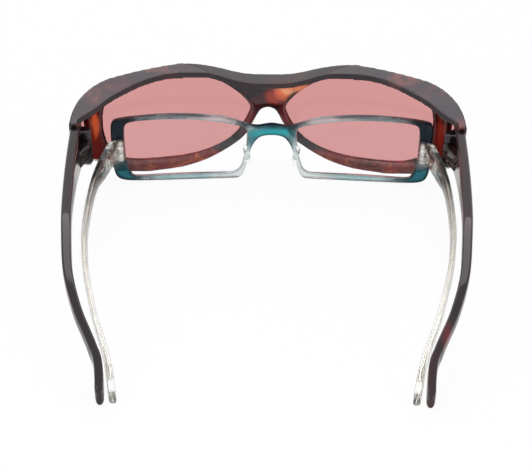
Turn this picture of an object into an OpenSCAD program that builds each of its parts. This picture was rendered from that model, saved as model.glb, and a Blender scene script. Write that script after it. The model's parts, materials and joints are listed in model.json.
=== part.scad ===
// Tinted cover glasses standing over a pair of clear reading glasses.
// Millimetres. +Y is the way the wearer looks, +X the wearer's right, +Z up.
// Both pairs stand on z = 0 on their rims and temple tips, with their temples open.

/* [Reading front] */
// Width of one reading lens
lens_w = 48.8; // [46:0.2:52]
// Height of one reading lens
lens_h = 24.6; // [22:0.2:27]
// Gap between the two reading lenses at the bridge
bridge_gap = 19.4; // [17:0.2:22]
// Thickness of the reading lenses
lens_t = 1.6; // [1.2:0.1:2]
// Rim above the reading lenses
rim_top = 1.8; // [1.6:0.1:3]
// Rim below the reading lenses
rim_bottom = 2.2; // [1.8:0.1:3]
// End piece beside each reading lens
endpiece_w = 4.9; // [4.8:0.1:6]
// Thickness of the reading front
front_t = 3.2; // [3:0.1:4]
// Bow radius of the reading front, seen from above
front_bow = 300; // [220:10:400]
// Forward lean of the reading front in degrees
front_lean = 8; // [6:0.5:10]
// How far the reading front stands to the right of the middle of the cover
nest_shift = 1.6; // [0:0.1:1.7]
// Turn of both reading temples to the left in degrees, which brings their tips back to the middle
nest_turn = 0.8; // [0:0.1:0.9]

/* [Reading temples] */
// Thickness of the reading temples
reader_arm_t = 2.9; // [2.8:0.1:3.6]
// Height of the reading temples at the hinge
reader_arm_h = 9.6; // [9:0.2:12]
// Height of the reading temple tips
reader_tip_h = 6.5; // [5:0.5:8]
// Distance that the reading temple tips end before the cover tips
tip_setback = 2; // [1:0.5:8]
// Radius of the core wire
wire_r = 0.45; // [0.35:0.05:0.6]

/* [Reading hinges] */
// Radius of the hinge barrels
barrel_r = 1.4; // [1.3:0.05:1.6]
// Height of one hinge barrel
barrel_h = 1.7; // [1.4:0.1:1.9]
// Radius of the hinge screws
screw_r = 0.6; // [0.5:0.05:0.7]
// Thickness of the hinge leaves
leaf_t = 0.8; // [0.7:0.05:0.9]
// Height of the middle of the hinges above the table
reader_hinge_z = 16; // [14:0.5:18]

/* [Cover front] */
// Overall length from the bridge to the temple tips
cover_length = 150; // [142:0.5:160]
// Height of the brow above the table
cover_height = 44.8; // [42:0.2:50]
// Height of the top of the bridge
cover_bridge_top = 38.7; // [37:0.1:41]
// Height of the top of the nose notch
cover_notch = 25.4; // [22:0.2:27]
// Room beside each end piece of the reading front, out to the outside of the cover
cover_room = 12.6; // [11.5:0.1:16]
// Depth from the bridge to the end of the side panels
cover_depth = 32.2; // [30:0.2:36]
// Bow radius of the cover front, seen from above
cover_bow = 180; // [165:5:240]
// Radius of the wrapped corners
cover_corner = 22; // [18:0.5:23]
// Wall thickness of the cover front
cover_wall = 3.2; // [3:0.1:4]
// Depth of the brow shelf at the bridge
brow_depth = 9; // [7:0.5:10]
// Thickness of the brow shelf
brow_t = 2.4; // [2:0.1:3.2]
// Forward lean of the cover front in degrees
cover_lean = 4; // [2:0.5:5]
// Thickness of the tinted lenses
tint_t = 1.8; // [1.4:0.1:2.2]

/* [Cover temples] */
// Thickness of the cover temples at the hinge
cover_arm_t = 4.2; // [3.6:0.1:4.8]
// Thickness of the cover temple tips
cover_tip_t = 2.9; // [2.5:0.1:3.4]
// Height of the cover temples at the hinge
cover_arm_h = 19; // [17:0.5:20]
// Height of the cover temple tips
cover_tip_h = 7.5; // [6:0.5:9]
// Height of the top of the cover temples at the hinge
cover_arm_top = 33; // [31:0.5:34]
// How far the cover temple tips turn in
cover_toe = 20.9; // [19:0.1:22]
// Radius of the cover hinge knuckles
knuckle_r = 2.2; // [2:0.1:2.4]
// Radius of the cover hinge screws
pin_r = 0.8; // [0.6:0.05:1]

/* [Hidden] */
$fn = 48;

// Clearances
lens_seat = 0.6;    // how far the edge of a tinted lens reaches into its groove
reader_seat = 0.5;  // how far the edge of a reading lens reaches into its groove
groove_gap = 0.05;  // play between a lens and its groove
run_gap = 0.05;     // play of a screw in a barrel, and between stacked barrels
open_gap = 0.3;     // gap between an open temple and the front
nest_gap = 0.6;     // least depth between the cover wall and the reading front
shelf_relief = 0.2; // how far the lens openings cut into the shelf behind the wall
far = 400;          // longer than anything here, for cutting

// Reading front, from the middle of the bridge out to the side
nasal = bridge_gap / 2;
reader_half = nasal + lens_w + endpiece_w;
reader_top = rim_bottom + lens_h + rim_top;

// Cover front, in its own upright frame with the bridge at y = 0
cover_half = reader_half + cover_room;
side_lean = 5;      // the side panels open towards the back by this angle
lens_nasal = 7.3;   // nasal edge of the tinted lenses
lens_outer = cover_half - 10.4;
tint_bottom = 4.4;
tint_top = cover_height - 2.8;

// Where the cover front stands in the nested pair
cover_y = cover_length / 2 - cover_bridge_top * sin(cover_lean);

// Plan of the cover wall: bridge arc, corner arc and side line, at an inward offset
side_n = [cos(side_lean), sin(side_lean)];
side_k = side_n * [cover_half, -cover_depth];
bow_c = [0, -cover_bow];
corner_a = side_lean + acos((side_k - cover_corner - side_n * bow_c) / (cover_bow - cover_corner));
corner_c = bow_c + (cover_bow - cover_corner) * [cos(corner_a), sin(corner_a)];
plan_end = -cover_depth - 12;
function arc(c, r, a0, a1, n) = [for (i = [0:n]) let (a = a0 + (a1 - a0) * i / n) c + r * [cos(a), sin(a)]];
function side_x(off, y) = (side_k - off - side_n[1] * y) / side_n[0];
function half_plan(off) = concat(
    arc(bow_c, cover_bow - off, 90, corner_a, 16),
    arc(corner_c, cover_corner - off, corner_a - 4, side_lean, 16),
    [[side_x(off, plan_end), plan_end]]);
function plan_y(off, x) = x < (cover_bow - off) * cos(corner_a)
    ? bow_c[1] + sqrt(pow(cover_bow - off, 2) - x * x)
    : corner_c[1] + sqrt(pow(cover_corner - off, 2) - pow(x - corner_c[0], 2));

// The reading front stands behind the cover wall, nest_gap away at its top corners
front_sag = front_bow - sqrt(front_bow * front_bow - reader_half * reader_half);
nest_z = reader_top - 7;
reader_y = cover_y + plan_y(cover_wall, reader_half + nest_shift) * cos(cover_lean)
    + nest_z * sin(cover_lean) - nest_gap + front_sag - nest_z * tan(front_lean) - front_t;

// Reading hinges: the axis stands a barrel radius inside the temple, behind the end piece
hinge_a = asin((reader_half - endpiece_w / 2) / front_bow);
reader_arm_out = reader_half + 0.8;
flare = 12;         // the reading temples leave the hinge outwards at this angle
flare_len = 12;
reader_axis_x = reader_arm_out - reader_arm_t - barrel_r / cos(flare);
reader_rear = reader_y - (front_bow - sqrt(front_bow * front_bow - reader_axis_x * reader_axis_x))
    + reader_hinge_z * tan(front_lean);
reader_axis_y = reader_rear - 1;
hinge_levels = 5;
hinge_h = hinge_levels * barrel_h;
reader_tip_y = -cover_length / 2 + tip_setback;
reader_arm_top = reader_hinge_z + reader_arm_h / 2;

// Cover hinges
panel_end = cover_y - cover_depth * cos(cover_lean) + cover_arm_top * sin(cover_lean);
axis_to_face = knuckle_r + 1;
cover_arm_out = cover_half;
cover_axis_x = cover_arm_out - cover_arm_t - 1.5;
cover_axis_y = panel_end + axis_to_face - open_gap;
cover_hinge_h = cover_arm_h - 4;
cover_hinge_z = cover_arm_top - 2.4 - cover_hinge_h;
cover_end_knuckle = cover_hinge_h * 0.27;
cover_screw_len = cover_hinge_h - 1.2;
cover_head_h = 0.8;
cover_tip_y = -cover_length / 2;

// Smooth curves through a few points
function catmull(a, b, c, d, t) = 0.5 * (2 * b + (c - a) * t + (2 * a - 5 * b + 4 * c - d) * t * t
    + (3 * b - a - 3 * c + d) * t * t * t);
function loop_through(p, n) = let (m = len(p)) [for (i = [0:m - 1], j = [0:n - 1])
    catmull(p[(i + m - 1) % m], p[i], p[(i + 1) % m], p[(i + 2) % m], j / n)];
function line_through(p, n) = let (m = len(p) - 1) concat([for (i = [0:m - 1], j = [0:n - 1])
    catmull(p[max(i - 1, 0)], p[i], p[i + 1], p[min(i + 2, m)], j / n)], [p[m]]);
function both_sides(half) = concat(half, [for (i = [len(half) - 2:-1:1]) [-half[i][0], half[i][1]]]);
function ease(u) = (1 - cos(180 * min(max(u, 0), 1))) / 2;

// Outlines in the upright frames, x outwards and y up, from shares of a width and a height
function shares(p, x0, x1, z0, z1) = [for (q = p) [x0 + q[0] * (x1 - x0), z0 + q[1] * (z1 - z0)]];
lens_shape = [[0, 0.73], [0.012, 0.795], [0.05, 0.84], [0.1, 0.866], [0.27, 0.932], [0.47, 0.98],
    [0.65, 0.998], [0.84, 1], [0.95, 0.98], [0.99, 0.925], [1, 0.76], [0.998, 0.4], [0.985, 0.21],
    [0.965, 0.1], [0.92, 0.02], [0.72, 0.002], [0.41, 0], [0.165, 0.006], [0.095, 0.028], [0.06, 0.098],
    [0.034, 0.25], [0.01, 0.46]];
function lens_outline(grow) = loop_through(shares(lens_shape, nasal - grow, nasal + lens_w + grow,
    rim_bottom - grow, rim_bottom + lens_h + grow), 3);
tint_shape = [[0, 0.56], [0.038, 0.66], [0.108, 0.77], [0.203, 0.87], [0.343, 0.95], [0.5, 0.985],
    [0.68, 0.965], [0.83, 0.9], [0.945, 0.79], [0.995, 0.63], [0.997, 0.39], [0.951, 0.158], [0.83, 0.035],
    [0.638, 0], [0.447, 0.008], [0.29, 0.063], [0.16, 0.166], [0.078, 0.294], [0.023, 0.43]];
function tint_outline(grow) = loop_through(shares(tint_shape, lens_nasal - grow, lens_outer + grow,
    tint_bottom - grow, tint_top + grow), 4);
window_shape = [[0, 0.5], [0.1, 0.16], [0.35, 0], [0.7, 0.1], [0.95, 0.38], [1, 0.62], [0.85, 0.9],
    [0.55, 1], [0.2, 0.85]];
post_w = 5.6;       // depth of the post between a tinted lens and the window beside it
window_back = cover_depth - 5.5;
window_front = post_w - plan_y(cover_wall / 2, lens_outer + lens_seat);
window_low = 17;
window_high = 32;
function window_outline(grow) = loop_through(shares(window_shape, -window_back - grow, -window_front + grow,
    window_low - grow, window_high + grow), 4);

reader_outline = loop_through(both_sides([
    [0, reader_top - 4.9], [nasal - 3.5, reader_top - 5.7], [nasal + 1.6, reader_top - 4.4],
    [nasal + 0.17 * lens_w, reader_top - 2.1], [nasal + 0.3 * lens_w, reader_top - 1.2],
    [nasal + 0.5 * lens_w, reader_top - 0.3], [nasal + 0.68 * lens_w, reader_top],
    [nasal + 0.88 * lens_w, reader_top - 0.2], [reader_half - 4.4, reader_top - 0.6],
    [reader_half - 1.4, reader_top - 1.1], [reader_half - 0.4, reader_top - 2],
    [reader_half, reader_top - 4.6], [reader_half, 16], [reader_half - 0.2, 10.5],
    [reader_half - 0.7, 6], [reader_half - 1.8, 3.2], [reader_half - 4, 1.7], [reader_half - 8.4, 0.9],
    [nasal + 0.72 * lens_w, 0.3], [nasal + 0.45 * lens_w, -0.1], [nasal + 0.15 * lens_w, -0.1],
    [nasal + 3.6, 0.4], [nasal + 2.1, 1.7], [nasal + 0.8, 4.9], [nasal - 0.3, 9.2],
    [nasal - 1.4, 12.9], [nasal - 2.4, 15.1], [nasal - 3.5, 16.8], [nasal - 5, 18.2],
    [nasal - 7.1, 18.9], [0, 19.1]]), 3);

cover_top_line = line_through([[0, cover_bridge_top], [10, cover_bridge_top + 0.6],
    [20, cover_height - 2.7], [28, cover_height - 0.8], [36, cover_height],
    [cover_half - 30, cover_height], [cover_half - 20, cover_height - 0.9],
    [cover_half - 10, cover_height - 3.2], [cover_half + 2, cover_height - 7.5]], 3);
cover_low_line = line_through([[0, cover_notch], [2.5, cover_notch - 0.9], [4.3, cover_notch - 3.3],
    [6, cover_notch - 6.8], [10, 12.4], [15, 8.2], [21.5, 4.2], [27, 1.8], [33, 0.2], [40, -0.6],
    [cover_half - 12, -1], [cover_half + 2, -1]], 3);
cover_side_top = line_through([[2, cover_height + 2], [-8, cover_height - 1.7], [-16, cover_height - 5.4],
    [-22, cover_height - 8], [-cover_depth, cover_arm_top - 0.6], [plan_end, cover_arm_top - 2]], 3);
cover_side_low = line_through([[2, -1], [-9, -1], [-12, 2.2], [-16, 7], [-21, 10.8],
    [-26, 12.6], [-cover_depth, cover_arm_top - cover_arm_h + 0.2],
    [plan_end, cover_arm_top - cover_arm_h]], 3);

// Plan of the rear edge of the brow shelf, which follows the forehead
forehead = line_through([[0, -brow_depth], [10, 0.2 - brow_depth], [20, 0.4 - brow_depth],
    [30, 0.5 - brow_depth], [cover_half - 36, -0.4 - brow_depth], [cover_half - 26, -4 - brow_depth],
    [cover_half - 16, -10.2 - brow_depth], [cover_half - 10, -15.8 - brow_depth],
    [cover_half - 4, -cover_depth + 2.9], [cover_half + 2, -cover_depth - 1.5]], 4);

// Tools for the upright fronts
module seen_from_front(outline) {
    rotate([90, 0, 0]) linear_extrude(height = far, center = true) polygon(outline);
}
module seen_from_side(outline) {
    rotate([90, 0, 90]) linear_extrude(height = far, center = true) polygon(outline);
}
module above_table() {
    translate([-far / 2, -far / 2, 0]) cube(far);
}
module on_right() {
    children();
}
module on_left() {
    mirror([1, 0, 0]) children();
}
module reader_right() {
    translate([nest_shift, 0, 0]) children();
}
module reader_left() {
    reader_right() mirror([1, 0, 0]) children();
}
module arm_turn(a) {
    translate([reader_axis_x, reader_axis_y, 0]) rotate([0, 0, a])
        translate([-reader_axis_x, -reader_axis_y, 0]) children();
}
module reader_arm_right() {
    reader_right() arm_turn(-nest_turn) children();
}
module reader_arm_left() {
    reader_left() arm_turn(nest_turn) children();
}

// Cover front
module cover_place() {
    translate([0, cover_y, 0]) rotate([-cover_lean, 0, 0]) children();
}
module cover_band(off, t) {
    right = half_plan(off);
    back = half_plan(off + t);
    n = len(right);
    linear_extrude(height = far, center = true) polygon(concat(
        [for (i = [n - 1:-1:1]) [-right[i][0], right[i][1]]], right,
        [for (i = [n - 1:-1:0]) back[i]], [for (i = [1:n - 1]) [-back[i][0], back[i][1]]]));
}
module under_brow(down) {
    line = [for (p = cover_top_line) [p[0], p[1] - down]];
    side = [for (p = cover_side_top) [p[0], p[1] - down]];
    n = len(line);
    m = len(side);
    intersection() {
        seen_from_front(concat([[-line[n - 1][0], -far]],
            [for (i = [n - 1:-1:1]) [-line[i][0], line[i][1]]],
            line, [[line[n - 1][0], -far]]));
        seen_from_side(concat([[side[0][0], -far]], side, [[side[m - 1][0], -far]]));
    }
}
module over_sill() {
    n = len(cover_low_line);
    m = len(cover_side_low);
    intersection() {
        seen_from_front(concat([[-cover_low_line[n - 1][0], far]],
            [for (i = [n - 1:-1:1]) [-cover_low_line[i][0], cover_low_line[i][1]]],
            cover_low_line, [[cover_low_line[n - 1][0], far]]));
        seen_from_side(concat([[cover_side_low[0][0], far]], cover_side_low,
            [[cover_side_low[m - 1][0], far]]));
    }
}
module brow_shelf() {
    right = half_plan(0.2);
    n = len(right);
    m = len(forehead);
    difference() {
        intersection() {
            linear_extrude(height = far, center = true) difference() {
                polygon(concat([for (i = [n - 1:-1:1]) [-right[i][0], right[i][1]]], right));
                polygon(concat([[-forehead[m - 1][0], -far]],
                    [for (i = [m - 1:-1:1]) [-forehead[i][0], forehead[i][1]]],
                    forehead, [[forehead[m - 1][0], -far]]));
            }
            under_brow(0);
        }
        under_brow(brow_t);
    }
}
module cover_knuckle(z, h) {
    translate([cover_axis_x, cover_axis_y, z]) cylinder(r = knuckle_r, h = h);
}
module cover_knuckle_web(z, h) {
    cover_knuckle(z, h);
    translate([cover_axis_x, cover_axis_y - knuckle_r, z])
        cube([cover_half - cover_wall / 2 - cover_axis_x, 2 * knuckle_r, h]);
}
module cover_hinge_front() {
    cover_knuckle_web(cover_hinge_z, cover_end_knuckle);
    cover_knuckle_web(cover_hinge_z + cover_hinge_h - cover_end_knuckle, cover_end_knuckle);
}
module cover_hinge_cuts() {
    translate([cover_axis_x, cover_axis_y, cover_hinge_z + cover_end_knuckle])
        cylinder(r = knuckle_r + open_gap, h = cover_hinge_h - 2 * cover_end_knuckle);
    translate([cover_axis_x, cover_axis_y, cover_hinge_z - 1])
        cylinder(r = pin_r + run_gap, h = cover_screw_len + 1 + run_gap);
}
module cover_front() {
    color("#4a2018") difference() {
        union() {
            intersection() {
                cover_place() union() {
                    intersection() {
                        cover_band(0, cover_wall);
                        under_brow(0);
                        over_sill();
                    }
                    brow_shelf();
                }
                above_table();
                translate([-far / 2, panel_end, 0]) cube(far);
            }
            on_right() cover_hinge_front();
            on_left() cover_hinge_front();
        }
        cover_place() {
            on_right() tint_hole();
            on_left() tint_hole();
            on_right() tint_blank(groove_gap);
            on_left() tint_blank(groove_gap);
            on_right() window_cut(0);
            on_left() window_cut(0);
            on_right() window_blank(groove_gap);
            on_left() window_blank(groove_gap);
        }
        on_right() cover_hinge_cuts();
        on_left() cover_hinge_cuts();
    }
}

// Tinted lenses, and the same shape a little larger for their grooves
module tint_blank(grow) {
    intersection() {
        cover_band((cover_wall - tint_t) / 2 - grow, tint_t + 2 * grow);
        seen_from_front(tint_outline(lens_seat + grow));
    }
}
module tint_hole() {
    intersection() {
        cover_band(-1, cover_wall + 1 + shelf_relief);
        seen_from_front(tint_outline(0));
    }
}
module window_cut(grow) {
    intersection() {
        seen_from_side(window_outline(grow));
        translate([cover_half / 2, -far / 2, 0]) cube(far);
    }
}
module window_blank(grow) {
    intersection() {
        cover_band((cover_wall - tint_t) / 2 - grow, tint_t + 2 * grow);
        window_cut(lens_seat + grow);
    }
}
module cover_lens() {
    color("#d69896") cover_place() tint_blank(0);
}
module side_lens() {
    color("#d69896") cover_place() window_blank(0);
}
module cover_lens_right() { on_right() cover_lens(); }
module cover_lens_left() { on_left() cover_lens(); }
module side_lens_right() { on_right() side_lens(); }
module side_lens_left() { on_left() side_lens(); }

// A closed solid through rings of points that run from front to back
module skin(rings) {
    n = len(rings[0]);
    m = len(rings);
    polyhedron(points = [for (r = rings) each r], convexity = 6, faces = concat(
        [[for (i = [n - 1:-1:0]) i]],
        [[for (i = [0:n - 1]) (m - 1) * n + i]],
        [for (k = [0:m - 2], i = [0:n - 1]) let (j = (i + 1) % n)
            [k * n + i, k * n + j, (k + 1) * n + i]],
        [for (k = [0:m - 2], i = [0:n - 1]) let (j = (i + 1) % n)
            [k * n + j, (k + 1) * n + j, (k + 1) * n + i]]));
}
// One ring: a bar's section at y, from its outer face inwards, with chamfered edges
function bar_ring(y, out, t, top, h, c) = [
    [out - t + c, y, top], [out - c, y, top], [out, y, top - c], [out, y, top - h + c],
    [out - c, y, top - h], [out - t + c, y, top - h], [out - t, y, top - h + c], [out - t, y, top - c]];

// Temples drop behind the ear: level, then a bend, then a straight slope down to the table
function drop_at(d, d1, d2, m) = d < d1 ? 0
    : d < d2 ? m * pow(d - d1, 2) / (2 * (d2 - d1))
    : m * (d - (d1 + d2) / 2);

arm_steps = 26;
tip_round = 3;
floor_dip = 0.4;    // how far the tips would reach under the table, so that they stand on flats
cover_edge = 0.6;   // chamfer along the cover temples
web_end = 11;       // the web of a cover knuckle runs this far back along its temple
reader_edge = 0.5;  // chamfer along the reading temples

cover_arm_len = cover_axis_y - cover_tip_y;
cover_mid_h = 5;
cover_bend = [0.47 * cover_arm_len, 0.74 * cover_arm_len];
cover_slope = (cover_arm_top - cover_tip_h + floor_dip)
    / (cover_arm_len - (cover_bend[0] + cover_bend[1]) / 2);
cover_plan = line_through([[0, 0], [0.21, 0.06], [0.42, 0.155], [0.57, 0.255], [0.67, 0.335],
    [0.73, 0.43], [0.795, 0.58], [0.86, 0.78], [0.92, 0.94], [1, 0.99]], 6);
function cover_out(d) = cover_arm_out - cover_toe * lookup(d / cover_arm_len, cover_plan);
function cover_thick(d) = cover_tip_t + (cover_arm_t - cover_tip_t) * pow(1 - d / cover_arm_len, 0.8);
function cover_tall(d) = let (f = d / cover_arm_len)
    cover_mid_h + (cover_arm_h - cover_mid_h) * pow(max(1 - f / 0.55, 0), 1.5)
        + (cover_tip_h - cover_mid_h) * ease((f - 0.82) / 0.14);
function cover_top_z(d) = cover_arm_top - drop_at(d, cover_bend[0], cover_bend[1], cover_slope);
function cover_ring(d, cut) = let (t = cover_thick(d), h = cover_tall(d))
    bar_ring(cover_axis_y - d, cover_out(d) - t * cut / 3, t * (1 - cut / 1.5),
        cover_top_z(d) - h * cut * 0.9, h * (1 - cut), cover_edge);
cover_rings = let (d0 = axis_to_face, d1 = cover_arm_len - tip_round) concat(
    [for (i = [0:arm_steps]) cover_ring(d0 + (d1 - d0) * i / arm_steps, 0)],
    [cover_ring(cover_arm_len - tip_round * 0.4, 0.08), cover_ring(cover_arm_len, 0.3)]);

module cover_temple() {
    z0 = cover_hinge_z + cover_end_knuckle + run_gap;
    h = cover_hinge_h - 2 * (cover_end_knuckle + run_gap);
    color("#3a1a16") difference() {
        union() {
            intersection() {
                skin(cover_rings);
                above_table();
            }
            cover_knuckle(z0, h);
            translate([cover_axis_x, cover_axis_y, z0]) linear_extrude(height = h) polygon([
                [-1.4, 0], [1.7, 0], [1.7, -axis_to_face], [2.6, -axis_to_face],
                [2.6, -web_end], [0.9, -web_end], [-1.4, -5]]);
        }
        translate([cover_axis_x, cover_axis_y, z0 - 1]) cylinder(r = pin_r + run_gap, h = h + 2);
    }
}
module cover_temple_right() { on_right() cover_temple(); }
module cover_temple_left() { on_left() cover_temple(); }

module cover_screw() {
    color("#b9b4ae") translate([cover_axis_x, cover_axis_y, cover_hinge_z]) union() {
        cylinder(r = pin_r, h = cover_screw_len);
        difference() {
            translate([0, 0, -cover_head_h]) cylinder(r = pin_r + 0.7, h = cover_head_h);
            translate([-2, -0.2, -cover_head_h - 0.6]) cube([4, 0.4, 1]);
        }
    }
}
module cover_screw_right() { on_right() cover_screw(); }
module cover_screw_left() { on_left() cover_screw(); }

// Reading front, in its own upright frame with its back face at y = 0 in the middle
module reader_place() {
    translate([0, reader_y, 0]) rotate([-front_lean, 0, 0]) children();
}
module bow_band(off, t) {
    sweep = 25;
    c = [0, -front_bow];
    linear_extrude(height = far, center = true) polygon(concat(
        arc(c, front_bow + off + t, 90 - sweep, 90 + sweep, 60),
        arc(c, front_bow + off, 90 + sweep, 90 - sweep, 60)));
}
module reader_lens_blank(grow) {
    intersection() {
        bow_band((front_t - lens_t) / 2 - grow, lens_t + 2 * grow);
        seen_from_front(lens_outline(reader_seat + grow));
    }
}
module reader_front() {
    color("#5e9aa0") reader_right() difference() {
        intersection() {
            reader_place() intersection() {
                bow_band(0, front_t);
                seen_from_front(reader_outline);
            }
            above_table();
        }
        reader_place() {
            on_right() seen_from_front(lens_outline(0));
            on_left() seen_from_front(lens_outline(0));
            on_right() reader_lens_blank(groove_gap);
            on_left() reader_lens_blank(groove_gap);
        }
        on_right() hinge_pocket();
        on_left() hinge_pocket();
    }
}
module reader_lens() {
    color("#e8eef0", 0.5) reader_place() reader_lens_blank(0);
}
module reader_lens_right() { reader_right() reader_lens(); }
module reader_lens_left() { reader_left() reader_lens(); }

// Nose pads stand behind the nasal rims
pad_h = 9;
pad_t = 2.2;
pad_depth = 3.2;
pad_z = 11;
pad_turn = 14;
module nose_pad() {
    x0 = nasal + 0.15;
    color("#dfe8e8") difference() {
        reader_place() translate([x0, -0.05, pad_z]) rotate([0, pad_turn, 0]) rotate([90, 0, 0])
            linear_extrude(height = pad_depth) polygon([for (i = [0:31]) let (a = i * 360 / 32)
                [pad_t / 2 * cos(a), pad_h / 2 * sin(a)]]);
        reader_place() bow_band(-0.03, front_t);
    }
}
module nose_pad_right() { reader_right() nose_pad(); }
module nose_pad_left() { reader_left() nose_pad(); }

// Reading hinges
module at_reader_axis(z) {
    translate([reader_axis_x, reader_axis_y, z]) children();
}
hinge_low = reader_hinge_z - hinge_h / 2;
leaf_in = 0.4;
leaf_set = 0.1;     // the front plate ends this far inside the top and bottom of its barrels
leaf_sink = 0.5;    // how far the front plate lies in the front, past its barrels
leaf_out = reader_half - reader_axis_x - 0.6;
rivet_r = 0.4;
rivet_head = 0.3;
rivet_x = leaf_out - 0.75;
rivet_rise = hinge_h * 0.32;
plate_front = barrel_r + leaf_sink;
plate_back = plate_front - leaf_t;
plate_h = hinge_h - 2 * leaf_set;
module front_plate(grow, back) {
    at_reader_axis(reader_hinge_z) rotate([0, 0, -hinge_a])
        translate([-leaf_in - grow, back, -plate_h / 2 - grow])
            cube([leaf_in + leaf_out + 2 * grow, plate_front + grow - back, plate_h + 2 * grow]);
}
module hinge_pocket() {
    front_plate(groove_gap, -4);
    at_reader_axis(hinge_low - groove_gap) cylinder(r = barrel_r + 0.2, h = hinge_h + 2 * groove_gap);
    at_front_rivets() translate([0, 0, -1])
        cylinder(r = rivet_r + groove_gap, h = 1 + rivet_len + groove_gap);
}
rivet_len = 2;
module rivet() {
    translate([0, 0, -rivet_head]) cylinder(r = rivet_r, h = rivet_len + rivet_head);
    translate([0, 0, -rivet_head]) cylinder(r = rivet_r + 0.2, h = rivet_head);
}
module at_front_rivets() {
    for (s = [-1, 1]) at_reader_axis(reader_hinge_z + s * rivet_rise) rotate([0, 0, -hinge_a])
        translate([rivet_x, plate_back, 0]) rotate([-90, 0, 0]) children();
}
module front_leaf() {
    color("#c9c6c0") difference() {
        union() {
            difference() {
                front_plate(0, plate_back);
                for (k = [1, 3]) at_reader_axis(hinge_low + k * barrel_h - run_gap)
                    cylinder(r = barrel_r + 0.15, h = barrel_h + 2 * run_gap);
            }
            for (k = [0, 2, 4]) at_reader_axis(hinge_low + k * barrel_h)
                cylinder(r = barrel_r, h = barrel_h);
        }
        at_reader_axis(hinge_low - 1) cylinder(r = screw_r + run_gap, h = hinge_h + 2);
        at_front_rivets() translate([0, 0, -1]) cylinder(r = rivet_r + groove_gap, h = 4);
    }
}
module front_leaf_right() { reader_right() front_leaf(); }
module front_leaf_left() { reader_left() front_leaf(); }

module front_rivets() {
    color("#b9b4ae") at_front_rivets() rivet();
}
module front_rivets_right() { reader_right() front_rivets(); }
module front_rivets_left() { reader_left() front_rivets(); }

temple_leaf_len = 9;
temple_leaf_start = barrel_r + 0.3;
module at_temple_rivets() {
    for (s = [0.3, 0.72]) at_reader_axis(reader_hinge_z) rotate([0, 0, flare])
        translate([barrel_r - leaf_t, -temple_leaf_start - s * temple_leaf_len, 0])
            rotate([0, 90, 0]) children();
}
module temple_leaf() {
    inner = barrel_h + run_gap;
    color("#c9c6c0") difference() {
        union() {
            at_reader_axis(hinge_low + inner) rotate([0, 0, flare])
                translate([barrel_r - leaf_t, -temple_leaf_start - temple_leaf_len, 0])
                    cube([leaf_t, temple_leaf_len, hinge_h - 2 * inner]);
            for (k = [1, 3]) at_reader_axis(hinge_low + k * barrel_h + run_gap) {
                cylinder(r = barrel_r, h = barrel_h - 2 * run_gap);
                rotate([0, 0, flare]) translate([barrel_r - leaf_t, -temple_leaf_start - 0.5, 0])
                    cube([leaf_t, temple_leaf_start + 0.5, barrel_h - 2 * run_gap]);
            }
        }
        at_reader_axis(hinge_low - 1) cylinder(r = screw_r + run_gap, h = hinge_h + 2);
        at_temple_rivets() translate([0, 0, -1]) cylinder(r = rivet_r + groove_gap, h = 4);
    }
}
module temple_leaf_right() { reader_arm_right() temple_leaf(); }
module temple_leaf_left() { reader_arm_left() temple_leaf(); }

module temple_rivets() {
    color("#b9b4ae") at_temple_rivets() rivet();
}
module temple_rivets_right() { reader_arm_right() temple_rivets(); }
module temple_rivets_left() { reader_arm_left() temple_rivets(); }

module reader_screw() {
    head_h = 0.6;
    color("#b9b4ae") at_reader_axis(hinge_low) union() {
        cylinder(r = screw_r, h = hinge_h + 0.1);
        difference() {
            translate([0, 0, hinge_h]) cylinder(r = screw_r + 0.4, h = head_h);
            translate([-2, -0.15, hinge_h + head_h - 0.3]) cube([4, 0.3, 1]);
        }
    }
}
module reader_screw_right() { reader_right() reader_screw(); }
module reader_screw_left() { reader_left() reader_screw(); }

// Reading temples
reader_arm_len = reader_axis_y - reader_tip_y;
reader_mid_h = 5.6;
reader_bend = [0.47 * reader_arm_len, 0.74 * reader_arm_len];
reader_slope = (reader_arm_top - reader_tip_h + floor_dip)
    / (reader_arm_len - (reader_bend[0] + reader_bend[1]) / 2);
reader_toe = cover_toe - 7.7;
reader_plan = concat([[0, 0]], line_through([
    [flare_len / reader_arm_len, -flare_len * tan(flare) / reader_toe], [0.2, -0.28], [0.3, -0.3],
    [0.42, -0.27], [0.51, -0.19], [0.6, -0.06], [0.65, 0.05], [0.71, 0.2], [0.77, 0.37],
    [0.83, 0.58], [0.9, 0.8], [1, 1]], 5));
function reader_out(d) = reader_arm_out - reader_toe * lookup(d / reader_arm_len, reader_plan);
function reader_thick(d) = let (f = d / reader_arm_len)
    reader_arm_t - 0.7 * ease((d - flare_len) / 24) + 0.5 * ease((f - 0.82) / 0.16);
function reader_tall(d) = let (f = d / reader_arm_len)
    reader_arm_h - (reader_arm_h - reader_mid_h) * ease((d - 7) / 22)
        + (reader_tip_h - reader_mid_h) * ease((f - 0.8) / 0.2);
function reader_top_z(d) = reader_arm_top - drop_at(d, reader_bend[0], reader_bend[1], reader_slope);
function reader_ring(d, cut) = let (t = reader_thick(d), h = reader_tall(d))
    bar_ring(reader_axis_y - d, reader_out(d) - t * cut / 3, t * (1 - cut / 1.5),
        reader_top_z(d) - h * cut * 0.9, h * (1 - cut), reader_edge);
// The front end of a temple is parallel to the back of the reading front, clear of its leaf and rivets
butt_gap = 1.1;
reader_butt = [for (q = reader_ring(0, 0)) let (y = reader_rear - butt_gap
    - (q[0] - reader_axis_x) * tan(hinge_a) + (q[2] - reader_hinge_z) * tan(front_lean))
        [q[0] + (reader_axis_y - y) * tan(flare), y, q[2]]];
reader_rings = let (d0 = flare_len, d1 = reader_arm_len - 1) concat([reader_butt],
    [for (i = [0:arm_steps]) reader_ring(d0 + (d1 - d0) * i / arm_steps, 0)],
    [reader_ring(reader_arm_len, 0.16)]);

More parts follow.
